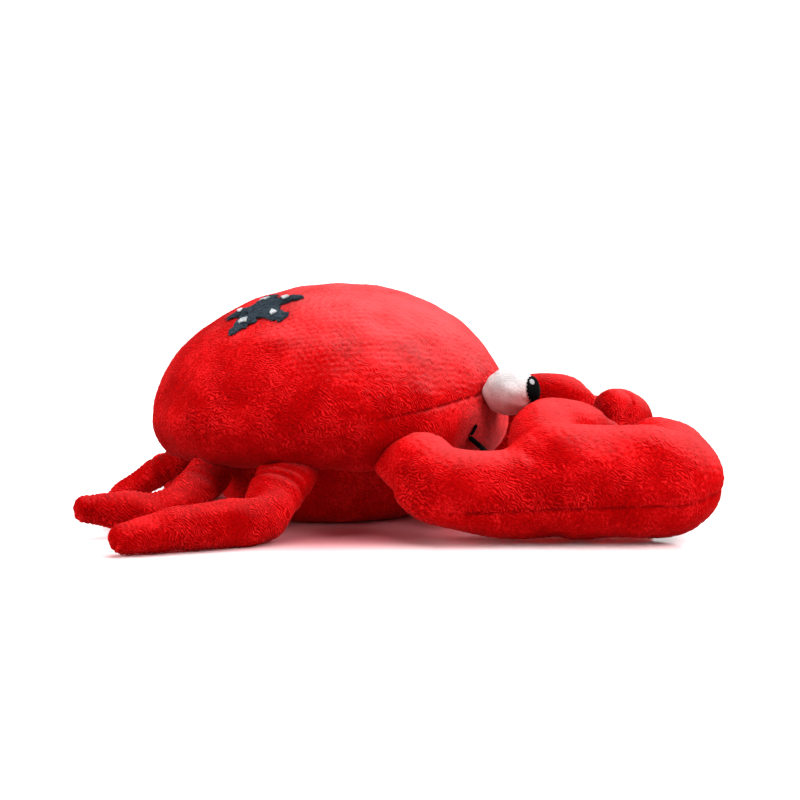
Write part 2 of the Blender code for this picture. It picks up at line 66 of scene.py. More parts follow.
BODY = {
    "radius": 90.1 * MM,
    "height": 116 * MM,
    "waist": 50 * MM,
    "tuck": 29.5 * MM,
    "tuck_radius": 72 * MM,
    "belly_radius": 62 * MM,
    "belly_top": 32.5 * MM,
    "flat_radius": 39 * MM,
    "dome_power": 1.93,
    "bulge_power": 2.2,
    "lean": 6 * MM,
    "seam_rise": 16.5 * MM,
}
CHEEK_AZIMUTH = math.radians(46.5)
SMILE = {
    "azimuth": math.radians(44),
    "height": 42.5 * MM,
    "dip": 11 * MM,
    "power": 3.8,
    "radius": 1.15 * MM,
    "thread": 1.0 * MM,
}
TICK = {"length": 3.6 * MM, "radius": 0.7 * MM, "thread": THREAD}
SHOULDER = {"azimuth": math.radians(69), "height": 32 * MM, "inset": 7 * MM, "radius": 10.2 * MM}
UPPER_ARM_RISE = 2.5 * MM
ARM_RADIUS = 18 * MM
ELBOW_X = 57.66 * MM
PALM = {"radius": 25.8 * MM, "rear": 104 * MM, "front": 155.2 * MM, "side": 91.5 * MM}
FINGER = {
    "reach": 49.5 * MM,
    "radius": 15.5 * MM,
    "rear_tip": 6.6 * MM,
    "front_tip": 8.2 * MM,
    "space": 1.5 * MM,
    "step": 6.5 * MM,
}
FLOOR_CLEARANCE = 0.8 * MM
ARMS_SWING = math.radians(-4.5)
# For each pincer: lean of the fingers' plane, lift of the wrist, arch of the rear finger, droop of
# its tip, and how far forward the arm is pulled
POSES = {
    RIGHT: (math.radians(21), 0.0, 8.5 * MM, 0.0, 0.0),
    LEFT: (math.radians(33), 5.0 * MM, 1.2 * MM, 2.2 * MM, 1.0 * MM),
}
LEG = {
    "root": 33 * MM,
    "inset": 10 * MM,
    "radius": 9.8 * MM,
    "press": 0.76,
    "tip": 6.5 * MM,
    "drop": 8.5 * MM,
    "rib": 2.0 * MM,
}
# For each leg: azimuth, half width and drop of its root, stoutness, then knee, shin and foot as
# distances back, outwards and above the floor, in millimetres, and the left leg's turn outwards
LEGS = {
    "front": (107, 13.8, 0.0, 1.0, (-10, 17, 0), (-28, 28, 0), (-66, 43, 0), 10),
    "middle": (140, 12.5, 2.0, 1.0, (-9, 15, 0.5), (-21, 21, -0.5), (-48.5, 25, 5.9), 28),
    "rear": (168, 8.5, 0.0, 0.68, (-6, -1, 14.5), (-17.5, -3, 7), (-29.5, -5, 0.5), 95),
}
EYE = {
    "radius": 11.3 * MM,
    "stretch": 1.17,
    "azimuth": math.radians(34.7),
    "height": 64 * MM,
    "lift": math.radians(7),
    "sink": 0.8 * MM,
}
# The stitched pupil and glint of an eye: half angle, scallops of the edge, thickness, and how far
# the middle lies from the gaze and is turned about it
PUPIL = {
    "angle": math.radians(27.7),
    "scallops": 19,
    "thickness": 1.0 * MM,
    "polar": 0.0,
    "turn": 0.0,
}
GLINT = {
    "angle": 1.05 * MM / EYE["radius"],
    "scallops": 12,
    "thickness": 0.5 * MM,
    "polar": math.radians(21.5),
    "turn": math.radians(48),
}
PATCH = {
    "azimuth": math.radians(-138),
    "polar": math.radians(38),
    "radius": 26 * MM,
    "waist": 0.46,
    "arms": 5,
    "thickness": 1.2 * MM,
    "rings": 60,
    "columns": 420,
}
DOT = {"reach": 0.56, "radius": 2.1 * MM, "thickness": 0.7 * MM, "rings": 12, "columns": 84}

# Densities of the other meshes at full detail
BODY_ROWS = {"dome": 170, "bulge": 46, "belly": 36, "flat": 14}
BODY_COLUMNS = 680
CLAW_COLUMNS = 96
CLAW_SPACING = 1.6 * MM
CLAW_VOXEL = 0.85 * MM
CLAW_RELAXING = 34  # passes that smooth the joined tubes
LEG_COLUMNS = 88
LEG_SPACING = 0.75 * MM
EYE_ROWS, EYE_COLUMNS = 90, 150
DISH_RINGS, DISH_COLUMNS = 14, 156
LINE_COLUMNS = 20
LINE_SPACING = 0.22 * MM
SPAN_STEPS = 24  # along a path, between two stations


# Numbers and meshes


def gauss(x):
    return np.exp(-(x**2))


def ramp(x, low, high):
    """0 below low, 1 above high, and a smooth step between."""
    t = np.clip((x - low) / (high - low), 0.0, 1.0)
    return t * t * (3 - 2 * t)


def unit(vectors):
    return vectors / np.linalg.norm(vectors, axis=-1, keepdims=True)


def ripple(points, wavelength, seed, spread=0.16, count=44):
    """A sum of plane waves of nearly one wavelength, each in a random direction and at a random
    phase, scaled to a standard deviation of 1. On a skin it gives bands that bend and fork."""
    rng = np.random.default_rng(seed)
    headings = unit(rng.normal(size=(count, 3)))
    numbers = 2 * np.pi / (wavelength * (1 + spread * rng.uniform(-1, 1, count)))
    phases = rng.uniform(0, 2 * np.pi, count)
    total = np.zeros(len(points))
    for heading, number, phase in zip(headings, numbers, phases):
        total += np.sin(points @ (heading * number) + phase)
    return total * math.sqrt(2 / count)


def once_round(count):
    """Equally spaced turns, from 0 to just before the full round."""
    return np.linspace(0, 2 * np.pi, count, endpoint=False)


def fine_pile(points, seed):
    """The unevenness of short pile: ripples 2.6 mm long and 0.07 mm deep."""
    return 0.07 * MM * ripple(points, 2.6 * MM, seed, 0.3, 20)


def crease(points, ends, depth, width):
    """How far a fold draws the skin in: deepest on the line between its ends, with a low puffed rim
    on both sides, as depth times (1 - 0.9 q) exp(-q), q being the squared distance over width."""
    start, end = (np.array(e) * MM for e in ends)
    along = end - start
    share = np.clip((points - start) @ along / (along @ along), 0.0, 1.0)
    off = np.linalg.norm(points - start - share[:, None] * along, axis=1)
    fade = 1 - np.clip(2 * np.abs(share - 0.5), 0, 1) ** 3
    q = (off / width) ** 2
    return depth * (1 - 0.9 * q) * np.exp(-q) * (0.25 + 0.75 * fade)


def grid_faces(rows, columns):
    """Faces of a tube of rings: quads between neighbouring rings, and a fan to a pole at each
    end."""
    ring = np.arange(columns)
    after = (ring + 1) % columns
    low = np.arange(rows - 1)[:, None] * columns
    corners = (low + ring, low + after, low + columns + after, low + columns + ring)
    quads = np.stack(corners, axis=-1)
    first, last = rows * columns, rows * columns + 1
    top = (rows - 1) * columns
    fans = [np.stack([np.full(columns, first), after, ring], axis=1)]
    fans.append(np.stack([np.full(columns, last), top + ring, top + after], axis=1))
    return quads.reshape(-1, 4), np.concatenate(fans)


def mesh_of(name, points, quads, triangles):
    """A mesh from arrays of points, quads and triangles."""
    mesh = bpy.data.meshes.new(name)
    mesh.vertices.add(len(points))
    mesh.vertices.foreach_set("co", np.ascontiguousarray(points, np.float32).ravel())
    corners = np.concatenate([quads.ravel(), triangles.ravel()]).astype(np.int32)
    sizes = np.concatenate([np.full(len(quads), 4), np.full(len(triangles), 3)])
    mesh.loops.add(len(corners))
    mesh.loops.foreach_set("vertex_index", corners)
    mesh.polygons.add(len(sizes))
    mesh.polygons.foreach_set("loop_start", (np.cumsum(sizes) - sizes).astype(np.int32))
    mesh.update(calc_edges=True)
    mesh.validate()
    return mesh


def closed_tube(name, rings, poles):
    """A closed surface from rings of points, rows by columns by 3, and the two poles."""
    rows, columns, _ = rings.shape
    quads, fans = grid_faces(rows, columns)
    return mesh_of(name, np.concatenate([rings.reshape(-1, 3), np.array(poles)]), quads, fans)


def vectors_of(items, key):
    flat = np.empty(len(items) * 3, np.float32)
    items.foreach_get(key, flat)
    return flat.reshape(-1, 3).astype(float)


def positions(mesh):
    return vectors_of(mesh.vertices, "co")


def normals(mesh):
    return vectors_of(mesh.vertex_normals, "vector")


def place_points(mesh, points):
    mesh.vertices.foreach_set("co", points.astype(np.float32).ravel())
    mesh.update()


def move_out(mesh, amount):
    """Moves each vertex along its normal by its amount."""
    place_points(mesh, positions(mesh) + normals(mesh) * amount[:, None])


def rest_on_floor(mesh):
    """Presses what lies lowest flat against the floor: a share of what a point lacks to half a
    millimetre is added to its height."""
    least, share = 0.5 * MM, 0.6
    points = positions(mesh)
    points[:, 2] += share * np.maximum(0.0, least - points[:, 2])
    place_points(mesh, points)


def keep_share(mesh, name, values):
    """Stores one number per vertex, which a material reads."""
    mesh.attributes.new(name, "FLOAT", "POINT").data.foreach_set("value", values.astype(np.float32))


def mark_painted_highlight(piece, share, least=0.0):
    """Stores how far each vertex faces up and a little ahead, towards the lamps, from 0 on the
    sides to a share on top, or the least that is given for it: the plush paints a highlight there."""
    facing = normals(piece.data) @ unit(np.array([0.42, -0.12, 0.9]))
    keep_share(piece.data, "up", np.maximum(least, share * ramp(facing, 0.5, 1.1)))


def on_face(points):
    """How far a point of the body is on the face: ahead, below the seam, over the claws' roots. It
    sets how much painted light the face gets.
    """
    ahead = ramp(unit(points[:, :2])[:, 0], 0.6, 0.8)
    return ahead * ramp(points[:, 2], 26 * MM, 34 * MM) * (1 - ramp(points[:, 2], 54 * MM, 64 * MM))


def settle(piece):
    """Applies the piece's modifiers to its mesh."""
    depsgraph = bpy.context.evaluated_depsgraph_get()
    done = bpy.data.meshes.new_from_object(piece.evaluated_get(depsgraph))
    done.shade_smooth()
    piece.modifiers.clear()
    piece.data = done


def put(name, data):
    """An object for the data, in the scene."""
    made = bpy.data.objects.new(name, data)
    bpy.context.scene.collection.objects.link(made)
    return made


def piece_from(name, mesh, finish, node):
    """An object for the mesh that rides on the frame and stands for one of its nodes."""
    mesh.shade_smooth()
    mesh.materials.append(finish)
    piece = put(name, mesh)
    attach(piece, "root")
    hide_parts(node)
    return piece


def sew_against(piece, body, gap=SEWN_GAP, mode="OUTSIDE"):
    """Moves what would lie inside the body out to its skin, where the piece is sewn on. The mode
    OUTSIDE_SURFACE lays the whole piece on that skin."""
    wrap = piece.modifiers.new("Sewn side", "SHRINKWRAP")
    wrap.target = body
    wrap.wrap_method = "NEAREST_SURFACEPOINT"
    wrap.wrap_mode = mode
    wrap.offset = gap
    settle(piece)


# Finishes

MIX_A, MIX_B, MIX_RESULT = 6, 7, 2  # a mix node's sockets for colours


def linear(code):
    """The linear RGBA of an sRGB hex code."""
    channels = np.array([int(code[i : i + 2], 16) for i in (1, 3, 5)]) / 255
    curve = np.where(channels <= 0.04045, channels / 12.92, ((channels + 0.055) / 1.055) ** 2.4)
    return (*(float(c) for c in curve), 1.0)


def feed(tree, node, inputs):
    """Gives each input a value, or a link: from a node's first output, or from the output that a
    (node, output) pair names."""
    for key, value in inputs.items():
        source = value if isinstance(value, tuple) else (value, 0)
        if isinstance(source[0], bpy.types.Node):
            tree.links.new(source[0].outputs[source[1]], node.inputs[key])
        else:
            node.inputs[key].default_value = value


def add(tree, kind, inputs=None, **settings):
    """Adds a shader node. A setting is an attribute of it."""
    made = tree.nodes.new(f"ShaderNode{kind}")
    for key, value in settings.items():
        setattr(made, key, value)
    feed(tree, made, inputs or {})
    return made


def blank(name):
    made = bpy.data.materials.new(name)
    made.use_nodes = True
    return made, made.node_tree, made.node_tree.nodes["Principled BSDF"]


def minky_plush(name, pile, roots, painted_highlight_colour, sheen, relief_share=1.0):
    """Short-pile polyester plush, brushed: matte, with clumps of pile about 1.8 mm wide that wind
    like the ridges of a fingertip and fade where the pile was smoothed, three colours of pile from
    deep to tip, broad patches where the pile lies another way, and a soft sheen at grazing angles.
    The colours also follow the clumps' relief: painted shade between them, a painted highlight on
    their tips. The mesh's part attribute marks where the pile parts, as along a seam, and shows
    the roots' colour; it also carries painted shade and, on the eyes, a painted red reflection.
    Its up attribute marks a painted highlight on what faces the lamps, which makes the pile paler
    there, and its calm attribute where the pile lies smooth."""
    made, tree, shader = blank(name)
    where = (add(tree, "TexCoord"), "Object")
    winding = {
        "Vector": where,
        "Scale": 1 / (3.0 * MM),
        "Distortion": 17.0,
        "Detail": 2.0,
        "Detail Scale": 0.6,
        "Detail Roughness": 0.5,
    }
    clumps = add(tree, "TexWave", winding, wave_type="BANDS", bands_direction="DIAGONAL")
    patches, fibres = (
        add(
            tree,
            "TexNoise",
            {"Vector": where, "Scale": 1 / width, "Detail": 3.0, "Roughness": roughness},
        )
        for width, roughness in ((24 * MM, 0.6), (1.3 * MM, 0.7))
    )
    parting_and_painted_shade, painted_highlight_share, calm = (
        (add(tree, "Attribute", attribute_name=key), "Fac") for key in ("part", "up", "calm")
    )
    lively = add(tree, "Math", {0: 1.0, 1: calm}, operation="SUBTRACT")
    apart = add(tree, "SeparateXYZ", {0: (patches, "Color")})
    sockets = ("Value", "From Min", "From Max", "To Min", "To Max")
    distinct, brushed, speckle, painted_highlight_patches = (
        add(tree, "MapRange", dict(zip(sockets, values)))
        for values in (
            ((apart, "Y"), 0.38, 0.58, 0.12, 1.0),
            ((apart, "X"), 0.3, 0.7, 0.22, 0.72),
            ((fibres, "Fac"), 0.3, 0.7, -0.24, 0.24),
            ((apart, "Z"), 0.36, 0.62, 0.85, 1.1),
        )
    )
    # The pile's tone follows the clumps' relief: the ramp paints shade between them, a highlight on
    # tips
    ridge = add(tree, "Math", {0: (clumps, "Fac"), 1: -0.5}, operation="ADD")
    height = add(tree, "Math", {0: distinct, 1: lively}, operation="MULTIPLY")
    ridged = add(tree, "Math", {0: ridge, 1: height}, operation="MULTIPLY")
    clumped = add(tree, "Math", {0: ridged, 1: 0.62, 2: brushed}, operation="MULTIPLY_ADD")
    speckled = add(tree, "Math", {0: clumped, 1: speckle}, operation="ADD")
    # The up share moves the tone towards the tips: a painted highlight on what faces the lamps
    tone = add(tree, "Math", {0: painted_highlight_share, 1: 0.25, 2: speckled}, operation="MULTIPLY_ADD")
    tones = add(tree, "ValToRGB", {"Fac": tone})
    tones.color_ramp.elements.new(0.5)
    for element, code in zip(tones.color_ramp.elements, pile):
        element.color = linear(code)
    # Painted highlight: its colour is added where the up share lies, in random patches
    painted_highlight_amount = add(tree, "Math", {0: painted_highlight_share, 1: painted_highlight_patches}, operation="MULTIPLY")
    with_painted_highlight = add(
        tree,
        "Mix",
        {"Factor": painted_highlight_amount, MIX_A: tones, MIX_B: linear(painted_highlight_colour)},
        data_type="RGBA",
        blend_type="ADD",
    )
    # The roots' colour shows at seams, and where the part attribute carries painted shade and
    # reflection
    colour = add(
        tree,
        "Mix",
        {"Factor": parting_and_painted_shade, MIX_A: (with_painted_highlight, MIX_RESULT), MIX_B: linear(roots)},
        data_type="RGBA",
    )
    fluff = {"Height": (fibres, "Fac"), "Strength": 0.7 * relief_share, "Distance": 0.5 * MM}
    swirls = {
        "Height": ridged,
        "Strength": 0.55 * relief_share,
        "Distance": 0.6 * MM,
        "Normal": add(tree, "Bump", fluff),
    }
    surface = {
        "Base Color": (colour, MIX_RESULT),
        "Normal": add(tree, "Bump", swirls),
        "Roughness": 0.95,
        "Specular IOR Level": 0.02,
        "Sheen Weight": 0.14,
        "Sheen Roughness": 0.3,
        "Sheen Tint": linear(sheen),
    }
    feed(tree, shader, surface)
    return made


def satin_thread(name, dark, light, gloss):
    """Polyester embroidery thread laid side by side: a painted gloss along each thread and painted
    shade in the grooves between, from the mesh's pile attribute, plus a fine twist as bump."""
    made, tree, shader = blank(name)
    where = (add(tree, "TexCoord"), "Object")
    ridge = (add(tree, "Attribute", attribute_name="pile"), "Fac")
    twist = add(tree, "TexNoise", {"Vector": where, "Scale": 1 / (0.6 * MM), "Detail": 2.0})
    level = add(tree, "MapRange", {"Value": ridge, "From Min": -1.0, "From Max": 1.0})
    colour = add(tree, "ValToRGB", {"Fac": level})
    for element, code in zip(colour.color_ramp.elements, (dark, light)):
        element.color = linear(code)
    twisted = {"Height": (twist, "Fac"), "Strength": 0.35, "Distance": 0.15 * MM}
    surface = {
        "Base Color": colour,
        "Normal": add(tree, "Bump", twisted),
        "Roughness": 0.55,
        "Specular IOR Level": gloss,
    }
    feed(tree, shader, surface)
    return made


def finishes():
    """The crab's materials by slot, made once."""
    if "red minky plush" not in bpy.data.materials:
        colours = bpy.context.scene.plush_crab.colours
        red = (colours.red_deep, colours.red_middle, colours.red_tip)
        # Plush: pile colours, roots' colour (seams and painted shade), painted highlight colour,
        # sheen tint
        minky_plush("red minky plush", red, "#4A0001", "#464A4C", "#FF7070")
        white = (colours.white_deep, "#BBB6B6", "#D4D0D0")
        # The eyes' pink roots' colour is a painted red reflection on their lower part
        minky_plush("white minky plush", white, "#C85E60", "#000000", "#302E2E", 0.35)
        slate = (colours.slate_deep, "#2E373F", "#46525C")
        minky_plush("slate minky plush", slate, "#101418", "#20242A", "#5A6670", 0.6)
        satin_thread("black satin thread", "#000000", "#050506", 0.02)
        satin_thread("grey satin thread", "#84888C", "#BCC0C3", 0.2)
    names = {
        "red_plush": "red minky plush",
        "white_plush": "white minky plush",
        "slate_felt": "slate minky plush",
        "black_thread": "black satin thread",
        "grey_thread": "grey satin thread",
    }
    return {slot: bpy.data.materials[name] for slot, name in names.items()}


# Body


def side_radius(z):
    """The dome's radius at a height: a superellipse from the waist to the crown, and another from
    the waist down to the tuck."""
    rise = np.clip((z - BODY["waist"]) / (BODY["height"] - BODY["waist"]), 0.0, 1.0)
    dome = BODY["radius"] * (1 - rise ** BODY["dome_power"]) ** (1 / BODY["dome_power"])
    drop = np.clip((BODY["waist"] - z) / (BODY["waist"] - BODY["tuck"]), 0.0, 1.0)
    bulge = (1 - drop ** BODY["bulge_power"]) ** (1 / BODY["bulge_power"])
    low = BODY["tuck_radius"] + (BODY["radius"] - BODY["tuck_radius"]) * bulge
    return np.where(z >= BODY["waist"], dome, low)


def seam_height(azimuth):
    return BODY["waist"] + BODY["seam_rise"] * np.maximum(-0.6, np.cos(azimuth))


def skin(azimuth, z, out=0.0):
    """Points of the dome's side at azimuths and heights, moved out along the skin's normal. The
    crown leans forwards with the square of its share of the height."""
    azimuth, z = np.broadcast_arrays(np.asarray(azimuth, float), np.asarray(z, float))
    step = 0.5 * MM
    slope = (side_radius(z + step) - side_radius(z - step)) / (2 * step)
    length = np.hypot(1.0, slope)
    radius = side_radius(z) - cheek_fold(azimuth, z) + out / length
    height = z - out * slope / length
    rise = np.maximum(0.0, (height - BODY["waist"]) / (BODY["height"] - BODY["waist"]))
    x = radius * np.cos(azimuth) + BODY["lean"] * rise**2
    return np.stack([x, radius * np.sin(azimuth), height], axis=-1)


def cheek_fold(azimuth, z):
    """The fold below each corner of the smile: a bell across the azimuth that fades in
    downwards."""
    span = np.clip((SMILE["height"] + SMILE["dip"] - z) / SMILE["dip"], 0.0, 1.0)
    return 2.6 * MM * span * gauss((np.abs(azimuth) - CHEEK_AZIMUTH) / math.radians(5))


def body_rings(columns, dome_rows, bulge_rows, belly_rows):
    """Rings from the flat belly over the bulge to the crown. Heights follow a cosine up the bulge
    and a sine up the dome, and the rings near the waist climb towards the face with the seam."""
    waist = BODY["waist"]
    azimuth = np.linspace(-np.pi, np.pi, columns, endpoint=False)
    turn = np.linspace(0, np.pi / 2, belly_rows + 1)
    belly_r = BODY["flat_radius"] + (BODY["belly_radius"] - BODY["flat_radius"]) * np.sin(turn)
    belly_z = BODY["belly_top"] * (1 - np.cos(turn))
    floor_r = np.linspace(0.08, 1.0, BODY_ROWS["flat"])[:-1] * BODY["flat_radius"]
    low_rings = [(r, 0.0) for r in floor_r] + list(zip(belly_r, belly_z))
    level = np.stack([np.cos(azimuth), np.sin(azimuth), 0 * azimuth], axis=1)
    rings = [r * level + (0.0, 0.0, z) for r, z in low_rings]
    drop, span = waist - BODY["tuck"], BODY["height"] - waist
    low = waist - drop * np.cos(np.linspace(0, np.pi / 2, bulge_rows, endpoint=False))
    high = waist + span * np.sin(np.linspace(0, np.pi / 2, dome_rows, endpoint=False))
    for z in np.concatenate([low, high]):
        near = max(0.0, 1 - abs(z - waist) / (drop if z < waist else span))
        rings.append(skin(azimuth, z + (seam_height(azimuth) - waist) * near))
    return np.array(rings)


def body_relief(points):
    """Seam, gathers, lumps and folds of the body's skin, as one distance out of it per point."""
    azimuth = np.arctan2(points[:, 1], points[:, 0])
    z = points[:, 2]
    side = ramp(z, 27 * MM, 31 * MM) * (1 - ramp(z, 100 * MM, 112 * MM))
    off = z - seam_height(azimuth)
    # The seam is drawn tight towards the face and nearly hidden in the pile at the back
    tight = 0.2 + 0.8 * ramp(np.cos(azimuth), -0.25, 0.5)
    groove = gauss(off / (0.8 * MM)) * 0.45 * MM + gauss(off / (4.5 * MM)) * 0.9 * MM
    stitches = 0.12 * MM * gauss(off / (1.3 * MM)) * np.cos(azimuth * 110)
    arc = azimuth * BODY["radius"]
    line = np.stack([arc, 0 * arc, 0 * arc], axis=1)
    gathers = np.clip(ripple(line, 7.5 * MM, 5, 0.45, 14), -1.6, 1.6)
    side_share = 0.35 + 0.65 * gauss((azimuth + 2.05) / 0.45)
    gather = 0.42 * MM * gathers * side_share * np.exp(-np.abs(off - 6 * MM) / (7 * MM))
    hem = np.clip(ripple(line, 6.0 * MM, 9, 0.4, 14), -1.6, 1.6)
    outer = ramp(np.hypot(points[:, 0], points[:, 1]), 60 * MM, 66 * MM)
    hem = 0.35 * MM * hem * outer * gauss((z - 31 * MM) / (5 * MM))
    lumps = 0.28 * MM * ripple(points, 27 * MM, 21, 0.4, 16)
    crown = crease(points, ((10, -30, 112), (30, -22, 111)), 0.8 * MM, 4 * MM)
    crown += crease(points, ((32, -10, 112), (22, -30, 110)), 0.6 * MM, 3.5 * MM)
    rest = ramp(z, 0.5 * MM, 6 * MM)
    drawn = side * (tight * (groove + stitches) - gather)
    return rest * (lumps - crown + fine_pile(points, 33) + hem) - drawn


def real_skin(azimuth, z, out):
    """Points over the body's finished skin: the plain skin with its relief at the same place."""
    return skin(azimuth, z, out + body_relief(skin(azimuth, z)))


def build_body(detail):
    rows = (int(BODY_ROWS[part] * detail) for part in ("dome", "bulge", "belly"))
    rings = body_rings(int(BODY_COLUMNS * detail), *rows)
    mesh = closed_tube("body skin", rings, [(0, 0, 0), (BODY["lean"], 0, BODY["height"])])
    move_out(mesh, body_relief(positions(mesh)))
    points = positions(mesh)
    azimuth = np.arctan2(points[:, 1], points[:, 0])
    off = points[:, 2] - seam_height(azimuth)
    broken = ramp(ripple(points, 5 * MM, 41, 0.4, 12), -1.4, 0.2)
    tight = broken * (0.08 + 0.92 * ramp(np.cos(azimuth), 0.05, 0.5))
    parted = 0.8 * gauss(off / (0.6 * MM)) * tight * ramp(points[:, 2], 31 * MM, 34 * MM)
    # Painted shade under the bulge, over the legs, in the roots' dark colour; none on the face
    painted_underside_shade = ramp(points[:, 2], 29 * MM, 33 * MM) * (1 - ramp(points[:, 2], 36 * MM, 56 * MM))
    behind = 1 - ramp(np.cos(azimuth), 0.3, 0.6)
    keep_share(mesh, "part", np.maximum(parted, 0.4 * painted_underside_shade * behind))
    low = 1 - ramp(points[:, 2], 34 * MM, 52 * MM)
    keep_share(mesh, "calm", np.maximum(0.75 * low, 0.5 * ramp(points[:, 2], 88 * MM, 108 * MM)))
    return mesh


# Limbs


def smooth_path(stations, steps):
    """A Catmull-Rom curve through stations of x, y, z, radius and press: each span's four weights
    are cubic in its own parameter."""
    held = np.concatenate([stations[:1], stations, stations[-1:]])
    t = np.arange(steps)[:, None] / steps
    weights = (
        -0.5 * t + t**2 - 0.5 * t**3,
        1 - 2.5 * t**2 + 1.5 * t**3,
        0.5 * t + 2 * t**2 - 1.5 * t**3,
        -0.5 * t**2 + 0.5 * t**3,
    )
    spans = [sum(w * held[i + k] for k, w in enumerate(weights)) for i in range(len(held) - 3)]
    return np.concatenate(spans + [stations[-1:]])


def gone_along(points):
    """How far each point of a line is along it."""
    return np.concatenate([[0], np.cumsum(np.linalg.norm(np.diff(points, axis=0), axis=1))])


def evenly(path, spacing):
    """The same curve with its samples at equal distances."""
    gone = gone_along(path[:, :3])
    places = np.linspace(0, gone[-1], max(4, int(gone[-1] / spacing)))
    return np.stack([np.interp(places, gone, path[:, k]) for k in range(path.shape[1])], axis=1)


def sweep(stations, spacing, columns):
    """Rings and poles of a tube along a smooth path, deeper or flatter by each station's press, and
    closed by half an ellipsoid at each end. Its frame is carried along by projecting it off each
    new tangent."""
    path = evenly(smooth_path(stations, SPAN_STEPS), spacing)
    centres, radii, press = path[:, :3], path[:, 3], path[:, 4]
    tangents = unit(np.gradient(centres, axis=0))
    across = np.cross(tangents[0], (0.0, 0.0, 1.0))
    wides = []
    for tangent in tangents:
        across = across - tangent * (across @ tangent)
        across = across / np.linalg.norm(across)
        wides.append(across)
    wides = np.array(wides)
    highs = np.cross(tangents, wides)
    caps = np.linspace(0, np.pi / 2, max(4, int(1.57 * radii[-1] / spacing)) + 1)[1:-1]
    rings_c, rings_w, rings_h = [], [], []
    for end, way, order in ((0, -1, caps[::-1]), (-1, 1, caps)):
        sines, cosines = np.sin(order)[:, None], np.cos(order)[:, None]
        rings_c.append(centres[end] + way * tangents[end] * radii[end] * sines)
        rings_w.append(wides[end] * radii[end] * cosines)
        rings_h.append(highs[end] * radii[end] * press[end] * cosines)
    centre = np.concatenate([rings_c[0], centres, rings_c[1]])
    wide = np.concatenate([rings_w[0], wides * radii[:, None], rings_w[1]])
    high = np.concatenate([rings_h[0], highs * (radii * press)[:, None], rings_h[1]])
    turn = once_round(columns)[None, :, None]
    rings = centre[:, None] + wide[:, None] * np.cos(turn) + high[:, None] * np.sin(turn)
    poles = [centres[0] - tangents[0] * radii[0], centres[-1] + tangents[-1] * radii[-1]]
    return rings, poles


def claw_stations(side):
    """Middle lines of one arm with its front finger, and of its rear finger: x, y, z, radius,
    press. The fingers lie in a plane that leans up about the palm's middle line."""
    tilt, lift, arch, droop, forward = POSES[side]
    rear, front = PALM["rear"], PALM["front"]
    length = front - rear
    inwards = np.array([0.0, -side * math.cos(tilt), math.sin(tilt)])

    def seat(x, reach, radius, above=0.0):
        share = min(1.0, max(0.0, (front - x) / length))
        height = PALM["radius"] + FLOOR_CLEARANCE + lift * share + above
        point = np.array([x + forward, side * PALM["side"], height]) + inwards * reach
        return np.array([*point, radius, 1.0])

    def arched(x, share, radius):
        rise = arch * math.sin(math.pi * share) - droop * share**4
        return seat(x, share * FINGER["reach"], radius, rise)

    arm_height = ARM_RADIUS + FLOOR_CLEARANCE
    azimuth, inset, root = side * SHOULDER["azimuth"], SHOULDER["inset"], SHOULDER["radius"]
    sewn = skin(azimuth, SHOULDER["height"], -inset)
    sewn[2] = SHOULDER["height"] + 0.4 * root
    edge = skin(azimuth, SHOULDER["height"], -0.2 * root)
    rise = np.array([0.0, 0.0, UPPER_ARM_RISE])
    bulge = 0.3 * ARM_RADIUS
    elbow = np.array([ELBOW_X, side * (PALM["side"] + bulge), arm_height + bulge + 0.5 * lift])
    wrist = seat(rear - 0.42 * length, -0.22 * ARM_RADIUS, 1.11 * ARM_RADIUS)
    wrist[2] = arm_height + 0.15 * ARM_RADIUS + 0.8 * lift
    meeting = rear + 0.73 * length
    palm, finger = PALM["radius"], FINGER["radius"]
    reach, front_tip, rear_tip = FINGER["reach"], 1.1 * FINGER["front_tip"], FINGER["rear_tip"]
    knuckle = (1.12 if side == RIGHT else 1.16) * finger
    arm = [
        (*sewn, 0.5 * root, 1.0),
        (*edge, 0.8 * root, 1.0),
        (*(edge + (elbow - edge) * 0.32 + 0.6 * rise), 0.77 * ARM_RADIUS, 1.0),
        (*(edge + (elbow - edge) * 0.5 + 1.2 * rise), 0.92 * ARM_RADIUS, 1.0),
        (*(edge + (elbow - edge) * 0.66), 0.96 * ARM_RADIUS, 1.0),
        (*elbow, ARM_RADIUS, 1.0),
        wrist,
        seat(rear - 0.04 * length, 0.0, 0.95 * palm, -1.0 * MM),
        seat(rear + 0.16 * length, 0.0, palm),
        seat(rear + 0.45 * length, 0.0, 0.96 * palm),
        seat(rear + 0.80 * length, 0.0, 0.98 * palm),
        seat(front, 0.04 * reach, 0.93 * palm),
        seat(front + 0.08 * length, 0.42 * reach, knuckle),
        seat(front + 0.01 * length, 0.68 * reach, 0.92 * finger),
        seat(front - 0.07 * length, 0.82 * reach, 0.78 * finger),
        seat(meeting + 0.5 * FINGER["space"] + front_tip, reach - FINGER["step"], front_tip),
    ]
    rear_finger = [
        arched(rear, 0.1, 1.25 * finger),
        arched(rear - 0.07 * length, 0.40, 1.08 * finger),
        arched(rear + 0.06 * length, 0.72, 1.02 * finger),
        arched(rear + 0.30 * length, 0.93, 0.90 * finger),
        arched(rear + 0.50 * length, 1.0, 0.69 * finger),
        arched(meeting - 0.35 * FINGER["space"] - rear_tip, 1.0, rear_tip),
    ]
    cosine, sine = math.cos(ARMS_SWING), math.sin(ARMS_SWING)
    swing = np.array([[cosine, sine, 0], [-sine, cosine, 0], [0, 0, 1]])
    lines = [np.array(line, float) for line in (arm, rear_finger)]
    for line in lines:
        line[:, :3] = line[:, :3] @ swing
    return lines


# Heights of a claw's side seam at distances ahead of the body's middle
CLAW_SEAM = (np.array([40, 90, 150, 178]) * MM, np.array([14, 16.8, 19, 26]) * MM)
